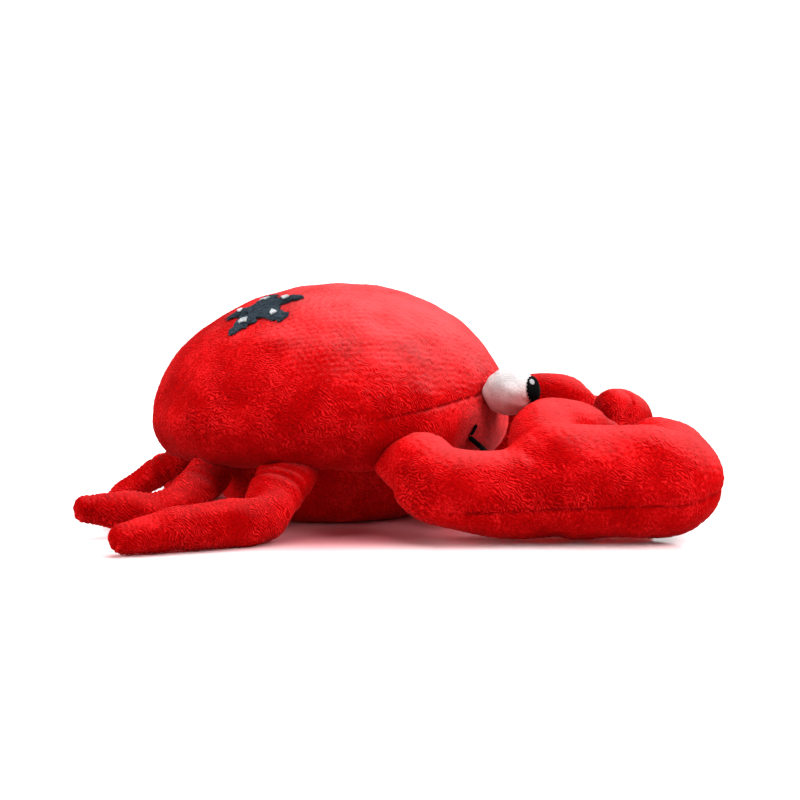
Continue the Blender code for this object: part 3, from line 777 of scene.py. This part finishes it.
# Folds of each claw: their ends, depth and width in millimetres
CLAW_FOLDS = {
    RIGHT: (
        (((52, -119, 41), (66, -121, 33)), 0.9, 3.6),
        (((86, -104, 47), (95, -117, 36)), 1.3, 3.4),
        (((78, -110, 44), (84, -118, 38)), 0.8, 3.0),
        (((26, -84, 47), (33, -94, 50)), 1.0, 3.0),
        (((166, -111, 33), (169, -105, 28)), 0.5, 2.4),
    ),
    LEFT: ((((88, 104, 47), (97, 117, 36)), 1.2, 3.4), (((50, 119, 41), (66, 121, 33)), 0.9, 3.6)),
}


def off_claw_seam(points, outward, side):
    """Height over a claw's side seam, and how much of the claw's outer side a point is on."""
    x, _, z = points.T
    facing = side * outward[:, 1] + 0.6 * np.maximum(outward[:, 0], 0)
    outer = ramp(facing, 0.15, 0.45) * ramp(x, 40 * MM, 55 * MM)
    return z - np.interp(x, *CLAW_SEAM), outer


def claw_relief(points, outward, side):
    """Side seam, folds and lumps of a claw, as one distance out of its skin per point."""
    x = points[:, 0]
    off, outer = off_claw_seam(points, outward, side)
    round_end = 1 - 0.7 * ramp(x, 160 * MM, 176 * MM)
    groove = 0.6 * MM * gauss(off / (0.9 * MM)) + 0.7 * MM * gauss(off / (3.4 * MM))
    waves = np.cos(x / MM * 2 * np.pi / 5.2 + 2 * np.sin(x / MM / 9))
    tucks = outer * 0.12 * MM * gauss(off / (3.0 * MM)) * waves
    lumps = 0.3 * MM * ripple(points, 24 * MM, 31 + side, 0.4, 16) + fine_pile(points, 35)
    folds = CLAW_FOLDS[side]
    drawn = sum(crease(points, ends, depth * MM, width * MM) for ends, depth, width in folds)
    return lumps - round_end * outer * groove + tucks - drawn


def build_claw(name, side, finish, body, detail):
    """One arm and pincer: its two tubes are remeshed as one stuffed skin, smoothed, drawn in at its
    seams and folds, covered with pile and sewn against the body."""
    points, quads, fans, start = [], [], [], 0
    for line in claw_stations(side):
        rings, poles = sweep(line, CLAW_SPACING, CLAW_COLUMNS)
        around, ends = grid_faces(len(rings), CLAW_COLUMNS)
        points += [rings.reshape(-1, 3), poles]
        quads.append(around + start)
        fans.append(ends + start)
        start += len(rings) * CLAW_COLUMNS + len(poles)
    mesh = mesh_of(name, *(np.concatenate(parts) for parts in (points, quads, fans)))
    piece = piece_from(name, mesh, finish, name)
    join = piece.modifiers.new("One skin", "REMESH")
    join.mode = "VOXEL"
    join.voxel_size = CLAW_VOXEL / detail
    relax = piece.modifiers.new("Relax", "SMOOTH")
    relax.factor = 0.5
    relax.iterations = CLAW_RELAXING
    settle(piece)
    mesh = piece.data
    off, outer = off_claw_seam(positions(mesh), normals(mesh), side)
    move_out(mesh, claw_relief(positions(mesh), normals(mesh), side))
    rest_on_floor(mesh)
    broken = ramp(ripple(positions(mesh), 5 * MM, 43, 0.4, 12), -1.2, 0.6)
    keep_share(mesh, "part", 0.5 * outer * broken * gauss(off / (0.85 * MM)))
    keep_share(mesh, "calm", 0.6 * outer * (1 - ramp(off, -2 * MM, 1 * MM)))
    sew_against(piece, body)
    return piece


def leg_stations(side, where):
    """Middle line of one leg: x, y, z, radius, press. It leaves from under the bulge, pressed flat
    by its seam, drops to the floor and lies along it."""
    degrees, width, drop, stoutness, knee, shin, foot, left_turn = LEGS[where]
    azimuth = side * math.radians(degrees)
    width, drop = width * MM, drop * MM
    root = skin(azimuth, LEG["root"])
    inside = skin(azimuth, LEG["root"], -2.2 * LEG["inset"])
    inside[2] = LEG["root"] + 0.5 * LEG["drop"]
    edge = skin(azimuth, LEG["root"], -LEG["inset"])
    edge[2] = LEG["root"] - 0.6 * LEG["drop"] - drop
    turn = -math.radians(left_turn) if side == LEFT else 0.0

    def at(place, radius):
        radius = stoutness * radius
        x, y = place[0] * MM, side * place[1] * MM
        east = x * math.cos(turn) - y * math.sin(turn)
        north = x * math.sin(turn) + y * math.cos(turn)
        height = radius + FLOOR_CLEARANCE + place[2] * MM
        return (root[0] + east, root[1] + north, height, radius, 1.0)

    bend = at(knee, 1.05 * LEG["radius"])
    press = LEG["press"]
    ankle = tuple(0.5 * (s + f) for s, f in zip(shin, foot))
    neck = edge + (np.array(bend[:3]) - edge) * 0.55
    return np.array([
        (*inside, 0.85 * width, 0.9 * press),
        (*edge, width, press),
        (*neck, 0.5 * (width + bend[3]), 0.5 + 0.5 * press),
        bend,
        at(shin, LEG["radius"]),
        at(ankle, 0.9 * LEG["radius"]),
        at(foot, LEG["tip"]),
    ])


def build_leg(name, side, where, finish, body, detail):
    """One leg: a tube with a curved fold at its root, ribs of pile across it and a puffed knee."""
    line = leg_stations(side, where)
    mesh = closed_tube(name, *sweep(line, LEG_SPACING / detail, int(LEG_COLUMNS * detail)))
    piece = piece_from(name, mesh, finish, name)
    sew_against(piece, body)
    mesh = piece.data
    points = positions(mesh)
    _, root, neck, knee = line[:4, :3]
    along = (points - root) @ unit(neck - root)
    # The front legs' folds are the deep ones: a groove between two puffed rims
    deep = 1.0 if where == "front" else 0.4
    fold = 1.5 * MM * gauss((along - 11 * MM) / (1.7 * MM))
    fold = fold - 0.7 * MM * gauss((along - 15 * MM) / (2.5 * MM))
    fold = deep * (fold + 0.8 * MM * gauss((along - 6.5 * MM) / (1.4 * MM)))
    upper = ramp(points[:, 2], 12 * MM, 22 * MM)
    lumps = 0.35 * MM * ripple(points, 15 * MM, 71 + side, 0.4, 14)
    clear = ramp(np.linalg.norm(points[:, :2], axis=1), 76 * MM, 82 * MM)
    move_out(mesh, clear * (lumps - fold * upper))
    points = positions(mesh)
    heading = unit(line[-1, :3] - knee)
    bent = 1.4 * ripple(points, 9 * MM, 75, 0.3, 12)
    ribs = np.sin((points @ heading) * 2 * np.pi / LEG["rib"] + bent)
    ribbed = ramp((points - knee) @ heading, -2 * MM, 8 * MM)
    move_out(mesh, 0.24 * MM * ribs * ribbed * clear)
    rest_on_floor(mesh)
    return piece


# Eyes, smile and patch


def eye_axes(side):
    """Middle of an eye and its axes as columns: up, across and outwards along its gaze."""
    azimuth = side * EYE["azimuth"]
    level = np.array([math.cos(azimuth), math.sin(azimuth), 0.0])
    seat = skin(azimuth, EYE["height"])
    middle = seat + level * (EYE["radius"] * EYE["stretch"] - EYE["sink"])
    gaze = level * math.cos(EYE["lift"]) + np.array([0, 0, math.sin(EYE["lift"])])
    across = np.cross(level, (0.0, 0.0, 1.0))
    return middle, np.stack([np.cross(across, gaze), across, gaze], axis=1)


def eye_reach(polar):
    """Distance from an eye's middle to its skin, at an angle from its gaze."""
    return EYE["radius"] / np.sqrt(np.sin(polar) ** 2 + (np.cos(polar) / EYE["stretch"]) ** 2)


def directions(polar, turn):
    """Unit vectors at polar angles from an axis and turns about it."""
    across = np.sin(polar)
    return np.stack([across * np.cos(turn), across * np.sin(turn), np.cos(polar)], axis=-1)


def ball_points(side, polar, turn):
    """Points of an eye's skin at polar angles from its gaze and turns about it."""
    middle, axes = eye_axes(side)
    return middle + (directions(polar, turn) * eye_reach(polar)[..., None]) @ axes.T


def build_eye(name, side, finish, body):
    """A stuffed ball, longer along its gaze, from rings about that gaze."""
    polar = np.linspace(np.pi, 0, EYE_ROWS + 2)[1:-1][:, None]
    polar, turn = np.broadcast_arrays(polar, once_round(EYE_COLUMNS)[None, :])
    poles = ball_points(side, np.array([np.pi, 0.0]), np.zeros(2))
    mesh = closed_tube(name, ball_points(side, polar, turn), poles)
    points = positions(mesh)
    middle, axes = eye_axes(side)
    ahead = unit(points - middle) @ axes[:, 2]
    soft = 1 - ramp(ahead, 0.80, 0.88)
    puckers = crease(points, ((74, side * 50, 57), (80, side * 54, 53)), 0.6 * MM, 2 * MM)
    move_out(mesh, soft * (0.25 * MM * ripple(points, 9 * MM, 95, 0.4, 12) - puckers))
    # Painted red reflection and painted shade on the eye's lower part, in the pink roots' colour
    keep_share(mesh, "part", 0.85 * (1 - ramp(points[:, 2], 54 * MM, 71 * MM)))
    piece = piece_from(name, mesh, finish, name)
    sew_against(piece, body)
    return piece


def stitched_dish(name, side, sizes, lift, finish):
    """A round satin-stitched patch that follows an eye's skin at a lift over it: two discs of rings
    about its own middle, joined at a rounded edge that scallops a little at every few stitches."""
    share = np.linspace(1 / DISH_RINGS, 1, DISH_RINGS)[:, None]
    turn = once_round(DISH_COLUMNS)[None, :]
    off = sizes["angle"] * (1 + 0.05 * np.cos(turn * sizes["scallops"])) * share
    own = directions(off, turn)
    sine, cosine = math.sin(sizes["polar"]), math.cos(sizes["polar"])
    lean = np.array([[cosine, 0, sine], [0, 1, 0], [-sine, 0, cosine]])
    sine, cosine = math.sin(-side * sizes["turn"]), math.cos(-side * sizes["turn"])
    roll = np.array([[cosine, -sine, 0], [sine, cosine, 0], [0, 0, 1]])
    middle, axes = eye_axes(side)
    threads = np.cos(own[..., 1] * EYE["radius"] * 2 * np.pi / THREAD)
    crown = np.sqrt(np.maximum(0.0, 1 - share**5))

    def placed(headings, above):
        local = headings @ (roll @ lean).T
        reach = eye_reach(np.arccos(np.clip(local[..., 2], -1, 1))) + lift + above
        return middle + (local * reach[..., None]) @ axes.T

    thickness = sizes["thickness"]
    low = placed(own, np.zeros(own.shape[:2]))
    high = placed(own, thickness * (0.3 + 0.7 * crown) + 0.09 * MM * threads * crown)
    top = np.array([[0.0, 0.0, 1.0]])
    poles = [placed(top, np.zeros(1))[0], placed(top, np.full(1, thickness))[0]]
    mesh = closed_tube(name, np.concatenate([low, high[::-1]]), poles)
    keep_share(mesh, "pile", np.concatenate([threads.ravel(), threads[::-1].ravel(), [0, 0]]))
    return piece_from(name, mesh, finish, name)


def stitched_line(name, points, sizes, finish):
    """A bead of satin stitch along points: a tube whose radius swells with each thread wrapped
    round it."""
    waves = 2 * np.pi / sizes["thread"]
    swell = sizes["radius"] * (1 + 0.10 * np.cos(gone_along(points) * waves))
    stations = np.concatenate([points, swell[:, None], np.ones((len(points), 1))], axis=1)
    mesh = closed_tube(name, *sweep(stations, LINE_SPACING, LINE_COLUMNS))
    keep_share(mesh, "pile", np.cos(positions(mesh)[:, 1] * waves))
    return piece_from(name, mesh, finish, name)


def patch_axes():
    """Middle of the patch on the dome's back, and its axes as columns: down the slope, round the
    body and out of the skin."""
    azimuth = PATCH["azimuth"]
    height = BODY["height"] - (BODY["height"] - BODY["waist"]) * (1 - math.cos(PATCH["polar"]))
    seat = skin(azimuth, height)
    out = unit(skin(azimuth, height, 10 * MM) - seat)
    around = np.array([-math.sin(azimuth), math.cos(azimuth), 0.0])
    return seat, np.stack([np.cross(around, out), around, out], axis=1)


def star_radius(turn):
    """The starfish's outline: arms that swell and fall with a cosine about its middle, and a small
    ragged edge as the pile's clumps give it."""
    wave = 0.5 + 0.5 * np.cos(PATCH["arms"] * turn)
    ragged = 0.25 * MM * np.sin(turn * 61) + 0.2 * MM * np.sin(turn * 87 + 1.0)
    return PATCH["radius"] * (PATCH["waist"] + (1 - PATCH["waist"]) * wave**1.5) + ragged


def star_pile(points):
    """The starfish's clumps of pile, 0.2 mm high: ripples on points that a broad ripple moves
    about, flattened by a hyperbolic tangent so that all stand about equally high."""
    shift = np.stack([ripple(points, 11 * MM, seed, 0.4, 12) for seed in (121, 122, 123)], axis=1)
    return 0.2 * MM * np.tanh(1.25 * ripple(points + 1.1 * MM * shift, 1.7 * MM, 120))


def dot_radius(turn):
    return DOT["radius"] + 0.1 * MM * np.cos(turn * 14)


def dot_threads(points):
    return 0.08 * MM * np.cos(points[:, 0] * 2 * np.pi / THREAD)


def draped(name, outline, centre, sizes, lift, body, finish, pile):
    """A cut piece laid on the dome: rings inside its outline are set on the skin by a shrinkwrap,
    then thickened, with an upper side that rounds off at its edge."""
    rings, columns = sizes["rings"], sizes["columns"]
    seat, axes = patch_axes()
    share = np.linspace(1 / rings, 1, rings)[:, None]
    turn = once_round(columns)[None, :]
    reach = outline(turn) * share
    x, y = reach * np.cos(turn), reach * np.sin(turn)
    flat = np.stack([centre[0] + x, centre[1] + y, 0 * x], axis=-1)
    sheet = np.concatenate([flat.reshape(-1, 3), [(*centre, 0.0)]])
    # The flat sheet starts off the dome, and the shrinkwrap lays it on the skin
    start = seat + sheet @ axes.T + axes[:, 2] * 20 * MM
    quads, fans = grid_faces(rings, columns)
    piece = piece_from(name, mesh_of(name, start, quads, fans[:columns]), finish, name)
    sew_against(piece, body, lift, "OUTSIDE_SURFACE")
    under = positions(piece.data)
    relief = pile(under)
    crown = np.append(np.broadcast_to(np.sqrt(1 - share**6), (rings, columns)), 1.0)
    height = sizes["thickness"] * (0.3 + 0.7 * crown) + relief * crown
    over = under + axes[:, 2] * height[:, None]
    low, high = (side[:-1].reshape(rings, columns, 3) for side in (under, over))
    shell = closed_tube(name, np.concatenate([low, high[::-1]]), [under[-1], over[-1]])
    shares = relief / np.abs(relief).max()
    upper = shares[:-1].reshape(rings, columns)[::-1].ravel()
    keep_share(shell, "pile", np.concatenate([shares[:-1], upper, [shares[-1], shares[-1]]]))
    shell.shade_smooth()
    shell.materials.append(finish)
    piece.data = shell
    return piece


# Sizes and colours that a user may change


class CrabColours(bpy.types.PropertyGroup):
    # The pile's colours follow its relief: the roots' colours paint shade between clumps, tips a
    # highlight
    red_deep: StringProperty(
        name="Red, roots", description="Colour between the clumps of pile", default="#860001"
    )
    red_middle: StringProperty(
        name="Red, pile", description="Colour of the clumps' sides", default="#B20203"
    )
    red_tip: StringProperty(
        name="Red, tips", description="Colour of the clumps' tips", default="#F62024"
    )
    white_deep: StringProperty(
        name="White, roots", description="Colour between the clumps on the eyes", default="#A39A9A"
    )
    slate_deep: StringProperty(
        name="Slate, roots", description="Shaded colour of the patch", default="#20262D"
    )


class CrabShape(bpy.types.PropertyGroup):
    detail: FloatProperty(
        name="Detail",
        description="Density of the plush skins' meshes",
        default=1.0,
        min=0.3,
        max=1.5,
        subtype="FACTOR",
    )


class CrabStage(bpy.types.PropertyGroup):
    lens: FloatProperty(
        name="Lens", description="Focal length", default=62.0, min=10.0, unit="CAMERA"
    )
    camera_place: FloatVectorProperty(
        name="Camera",
        description="Where the camera stands",
        default=(-0.0203, -0.7006, 0.105),
        subtype="XYZ",
    )
    camera_turn: FloatProperty(
        name="Heading",
        description="Camera's turn from +Y towards +X",
        default=math.radians(4.5),
        subtype="ANGLE",
    )
    camera_pitch: FloatProperty(
        name="Pitch",
        description="How far the camera looks down",
        default=math.radians(3.96),
        subtype="ANGLE",
    )
    floor_size: FloatProperty(
        name="Floor", description="Half width of the floor", default=3.0, subtype="DISTANCE"
    )


class PlushCrab(bpy.types.PropertyGroup):
    colours: PointerProperty(type=CrabColours)
    shape: PointerProperty(type=CrabShape)
    stage: PointerProperty(type=CrabStage)


# Operators


def body_piece():
    piece = bpy.data.objects.get("body_skin")
    if piece is None:
        raise RuntimeError("the body has to be built before what is sewn on it")
    return piece


def detail_of(context):
    return context.scene.plush_crab.shape.detail


class CRAB_OT_body(bpy.types.Operator):
    """Builds the body: dome, bulge and belly in one stuffed skin"""

    bl_idname = "plush_crab.body"
    bl_label = "Body"

    def execute(self, context):
        mesh = build_body(detail_of(context))
        piece = piece_from("body_skin", mesh, finishes()["red_plush"], "body")
        # Painted highlight on the body's top, and painted light on the face
        mark_painted_highlight(piece, 1.0, 0.55 * on_face(positions(mesh)))
        return {"FINISHED"}


class CRAB_OT_claws(bpy.types.Operator):
    """Builds the two arms with their pincers"""

    bl_idname = "plush_crab.claws"
    bl_label = "Claws"

    def execute(self, context):
        for side, side_name in SIDES:
            name = f"{side_name}_claw"
            detail = detail_of(context) * (1.0 if side == RIGHT else 0.8)
            piece = build_claw(name, side, finishes()["red_plush"], body_piece(), detail)
            # Painted highlight on the claws' tops
            mark_painted_highlight(piece, 0.5)
            piece.name = f"{name}_skin"
        return {"FINISHED"}


class CRAB_OT_legs(bpy.types.Operator):
    """Builds the six legs"""

    bl_idname = "plush_crab.legs"
    bl_label = "Legs"

    def execute(self, context):
        red, body = finishes()["red_plush"], body_piece()
        for side, side_name in SIDES:
            for where in LEGS:
                name = f"{side_name}_leg_{where}"
                piece = build_leg(name, side, where, red, body, detail_of(context))
                # Painted highlight on the legs' tops
                mark_painted_highlight(piece, 0.2)
                piece.name = f"{name}_skin"
        return {"FINISHED"}


class CRAB_OT_eyes(bpy.types.Operator):
    """Builds the eyes with their embroidered pupils and glints"""

    bl_idname = "plush_crab.eyes"
    bl_label = "Eyes"

    def execute(self, context):
        made = finishes()
        for side, side_name in SIDES:
            ball = build_eye(f"{side_name}_eye", side, made["white_plush"], body_piece())
            ball.name = f"{side_name}_eye_ball"
            black = stitched_dish(
                f"{side_name}_pupil", side, PUPIL, SEWN_GAP, made["black_thread"]
            )
            above = 2 * SEWN_GAP + PUPIL["thickness"]
            light = stitched_dish(f"{side_name}_glint", side, GLINT, above, made["grey_thread"])
        return {"FINISHED"}


class CRAB_OT_smile(bpy.types.Operator):
    """Builds the embroidered smile and the tick at each of its corners"""

    bl_idname = "plush_crab.smile"
    bl_label = "Smile"

    def execute(self, context):
        thread = finishes()["black_thread"]
        azimuth = np.linspace(-1, 1, 400) * SMILE["azimuth"]
        share = np.abs(azimuth / SMILE["azimuth"]) ** SMILE["power"]
        height = SMILE["height"] - SMILE["dip"] * (1 - share)
        line = real_skin(azimuth, height, SEWN_GAP + SMILE["radius"])
        piece = stitched_line("mouth_line", line, SMILE, thread)
        start = SMILE["height"] + SMILE["radius"] + TICK["radius"] + SEWN_GAP
        for side, side_name in SIDES:
            t = np.linspace(0, 1, 60)
            azimuth = side * (SMILE["azimuth"] - 0.35 * TICK["length"] / BODY["radius"] * t)
            tick = real_skin(azimuth, start + TICK["length"] * t, SEWN_GAP + TICK["radius"])
            piece = stitched_line(f"{side_name}_mouth_tick", tick, TICK, thread)
        return {"FINISHED"}


class CRAB_OT_patch(bpy.types.Operator):
    """Builds the starfish patch and the dot on each of its arms"""

    bl_idname = "plush_crab.patch"
    bl_label = "Patch"

    def execute(self, context):
        made, body = finishes(), body_piece()
        slate, grey = made["slate_felt"], made["grey_thread"]
        star = draped(
            "patch_starfish", star_radius, (0.0, 0.0), PATCH, SEWN_GAP, body, slate, star_pile
        )
        above = 2 * SEWN_GAP + PATCH["thickness"]
        reach = DOT["reach"] * PATCH["radius"]
        for arm in range(PATCH["arms"]):
            turn = 2 * math.pi * arm / PATCH["arms"]
            centre = (reach * math.cos(turn), reach * math.sin(turn))
            name = f"patch_dot_{arm + 1}"
            dot = draped(name, dot_radius, centre, DOT, above, body, grey, dot_threads)
        return {"FINISHED"}


class CRAB_OT_stage(bpy.types.Operator):
    """Builds the floor, the lamps, the world and the camera"""

    bl_idname = "plush_crab.stage"
    bl_label = "Stage"

    def execute(self, context):
        settings = context.scene.plush_crab.stage
        build_floor(settings.floor_size)
        build_lamps()
        build_world(context.scene)
        build_camera(context.scene, settings)
        context.scene.view_settings.view_transform = "Standard"
        return {"FINISHED"}


def seen_rays(tree):
    """A light path node, and 1 where the ray is the camera's or a glossy one."""
    path = add(tree, "LightPath")
    rays = {0: (path, "Is Camera Ray"), 1: (path, "Is Glossy Ray")}
    return path, add(tree, "Math", rays, operation="MAXIMUM")


def build_floor(size):
    """A floor that bends up into a backdrop: one profile of a flat run, a quarter turn and a
    wall. Its white acrylic sheet has a soft gloss that mirrors what lies on it at a low angle.
    The camera sees it lit past white, so shadows stay close to what casts them. Next to the crab
    its colour is painted red for the camera, a painted red bounce and reflection in the shadows
    there, and it is plain white from farther off."""
    bend = 0.6
    turn = np.linspace(0, np.pi / 2, 24)
    run = np.concatenate([[-size], size - bend + bend * np.sin(turn), [size]])
    rise = np.concatenate([[0.0], bend * (1 - np.cos(turn)), [size]])
    across = np.array([-size, size])
    points = np.stack([np.tile(across, len(run)), np.repeat(run, 2), np.repeat(rise, 2)], axis=1)
    low = np.arange(len(run) - 1) * 2
    quads = np.stack([low, low + 1, low + 3, low + 2], axis=1)
    mesh = mesh_of("backdrop", points, quads, np.empty((0, 3), int))
    mesh.shade_smooth()
    made, tree, shader = blank("white acrylic backdrop")
    path, mirrored = seen_rays(tree)
    where = (add(tree, "TexCoord"), "Object")
    away = add(tree, "VectorMath", {0: where}, operation="LENGTH")
    distance = (away, "Value")
    near = add(
        tree,
        "MapRange",
        {"Value": distance, "From Min": 0.09, "From Max": 0.14},
        interpolation_type="SMOOTHSTEP",
    )
    # Painted red bounce and reflection next to the crab; the past-white gain is a little pink, so
    # it tints the floor's shadows too
    painted_red_bounce, past_white, grey = (1, 0.36, 0.4, 1), (1.7, 1.45, 1.48, 1), (0.56, 0.56, 0.56, 1)
    by_distance = {"Factor": near, MIX_A: painted_red_bounce, MIX_B: past_white}
    seen = (add(tree, "Mix", by_distance, data_type="RGBA"), MIX_RESULT)
    by_ray = {"Factor": (path, "Is Camera Ray"), MIX_A: grey, MIX_B: seen}
    colour = (add(tree, "Mix", by_ray, data_type="RGBA"), MIX_RESULT)
    far = add(tree, "MapRange", {"Value": distance, "From Min": 0.2, "From Max": 0.5})
    surface = {
        "Base Color": colour,
        "Emission Color": (1.0, 1.0, 1.0, 1.0),
        "Emission Strength": add(tree, "Math", {0: mirrored, 1: far}, operation="MULTIPLY"),
        "Roughness": 0.5,
        "Specular IOR Level": 0.2,
        "Coat Weight": 1.0,
        "Coat Roughness": 0.1,
        "Coat IOR": 2.3,
    }
    feed(tree, shader, surface)
    mesh.materials.append(made)
    put("backdrop", mesh)


def look_along(holder, place, heading):
    """Puts a lamp or camera at a place, pointing along a heading and level across."""
    holder.location = place
    holder.rotation_euler = heading.to_track_quat("-Z", "Y").to_euler()


def build_lamps():
    """A wide soft box overhead, broad fills from the left and from ahead, and a small one for the
    face."""
    for name, place, aim, size, power in (
        ("soft box", (0.12, 0.08, 1.25), (0.0, 0.0, 0.04), 1.1, 21.0),
        ("left fill", (-1.35, -0.5, 0.6), (0.0, 0.0, 0.04), 1.1, 20.0),
        ("right fill", (0.95, -0.5, 1.05), (0.05, 0.0, 0.04), 1.0, 6.0),
        ("face fill", (0.5, -0.3, 0.38), (0.065, -0.05, 0.045), 0.35, 3.2),
    ):
        lamp = bpy.data.lights.new(name, "AREA")
        lamp.shape = "SQUARE"
        lamp.size = size
        lamp.energy = power
        look_along(put(name, lamp), place, Vector(aim) - Vector(place))


def build_world(scene):
    """Even faint light from all round, which the camera and glossy surfaces see as plain white."""
    world = bpy.data.worlds.new("studio")
    world.use_nodes = True
    tree = world.node_tree
    _, mirrored = seen_rays(tree)
    strength = {"Value": mirrored, "To Min": 0.05, "To Max": 1.0}
    shown = {"Color": (1.0, 1.0, 1.0, 1.0), "Strength": add(tree, "MapRange", strength)}
    feed(tree, tree.nodes["Background"], shown)
    scene.world = world


def build_camera(scene, settings):
    """A camera at the photograph's angle, level across and looking slightly down."""
    lens = bpy.data.cameras.new("camera")
    lens.lens = settings.lens
    lens.sensor_width = 36.0
    lens.clip_start = 0.01
    lens.clip_end = 20.0
    turn, pitch = settings.camera_turn, settings.camera_pitch
    level = math.cos(pitch)
    gaze = Vector((math.sin(turn) * level, math.cos(turn) * level, -math.sin(pitch)))
    scene.camera = put("camera", lens)
    look_along(scene.camera, settings.camera_place, gaze)


STEPS = (
    CRAB_OT_body,
    CRAB_OT_claws,
    CRAB_OT_legs,
    CRAB_OT_eyes,
    CRAB_OT_smile,
    CRAB_OT_patch,
    CRAB_OT_stage,
)


class CRAB_PT_panel(bpy.types.Panel):
    """Lists the steps that build the crab, and their sizes and colours"""

    bl_idname = "CRAB_PT_panel"
    bl_label = "Plush crab"
    bl_space_type = "VIEW_3D"
    bl_region_type = "UI"
    bl_category = "Plush crab"

    def draw(self, context):
        crab = context.scene.plush_crab
        for group in (crab.shape, crab.colours, crab.stage):
            for key in group.__annotations__:
                self.layout.prop(group, key)
        for step in STEPS:
            self.layout.operator(step.bl_idname)


CLASSES = (CrabColours, CrabShape, CrabStage, PlushCrab, *STEPS, CRAB_PT_panel)


def register():
    for each in CLASSES:
        bpy.utils.register_class(each)
    bpy.types.Scene.plush_crab = PointerProperty(type=PlushCrab)


def unregister():
    del bpy.types.Scene.plush_crab
    for each in reversed(CLASSES):
        bpy.utils.unregister_class(each)


def main():
    register()
    bpy.ops.plush_crab.body()
    bpy.ops.plush_crab.claws()
    bpy.ops.plush_crab.legs()
    bpy.ops.plush_crab.eyes()
    bpy.ops.plush_crab.smile()
    bpy.ops.plush_crab.patch()
    bpy.ops.plush_crab.stage()


if __name__ == "__main__":
    main()
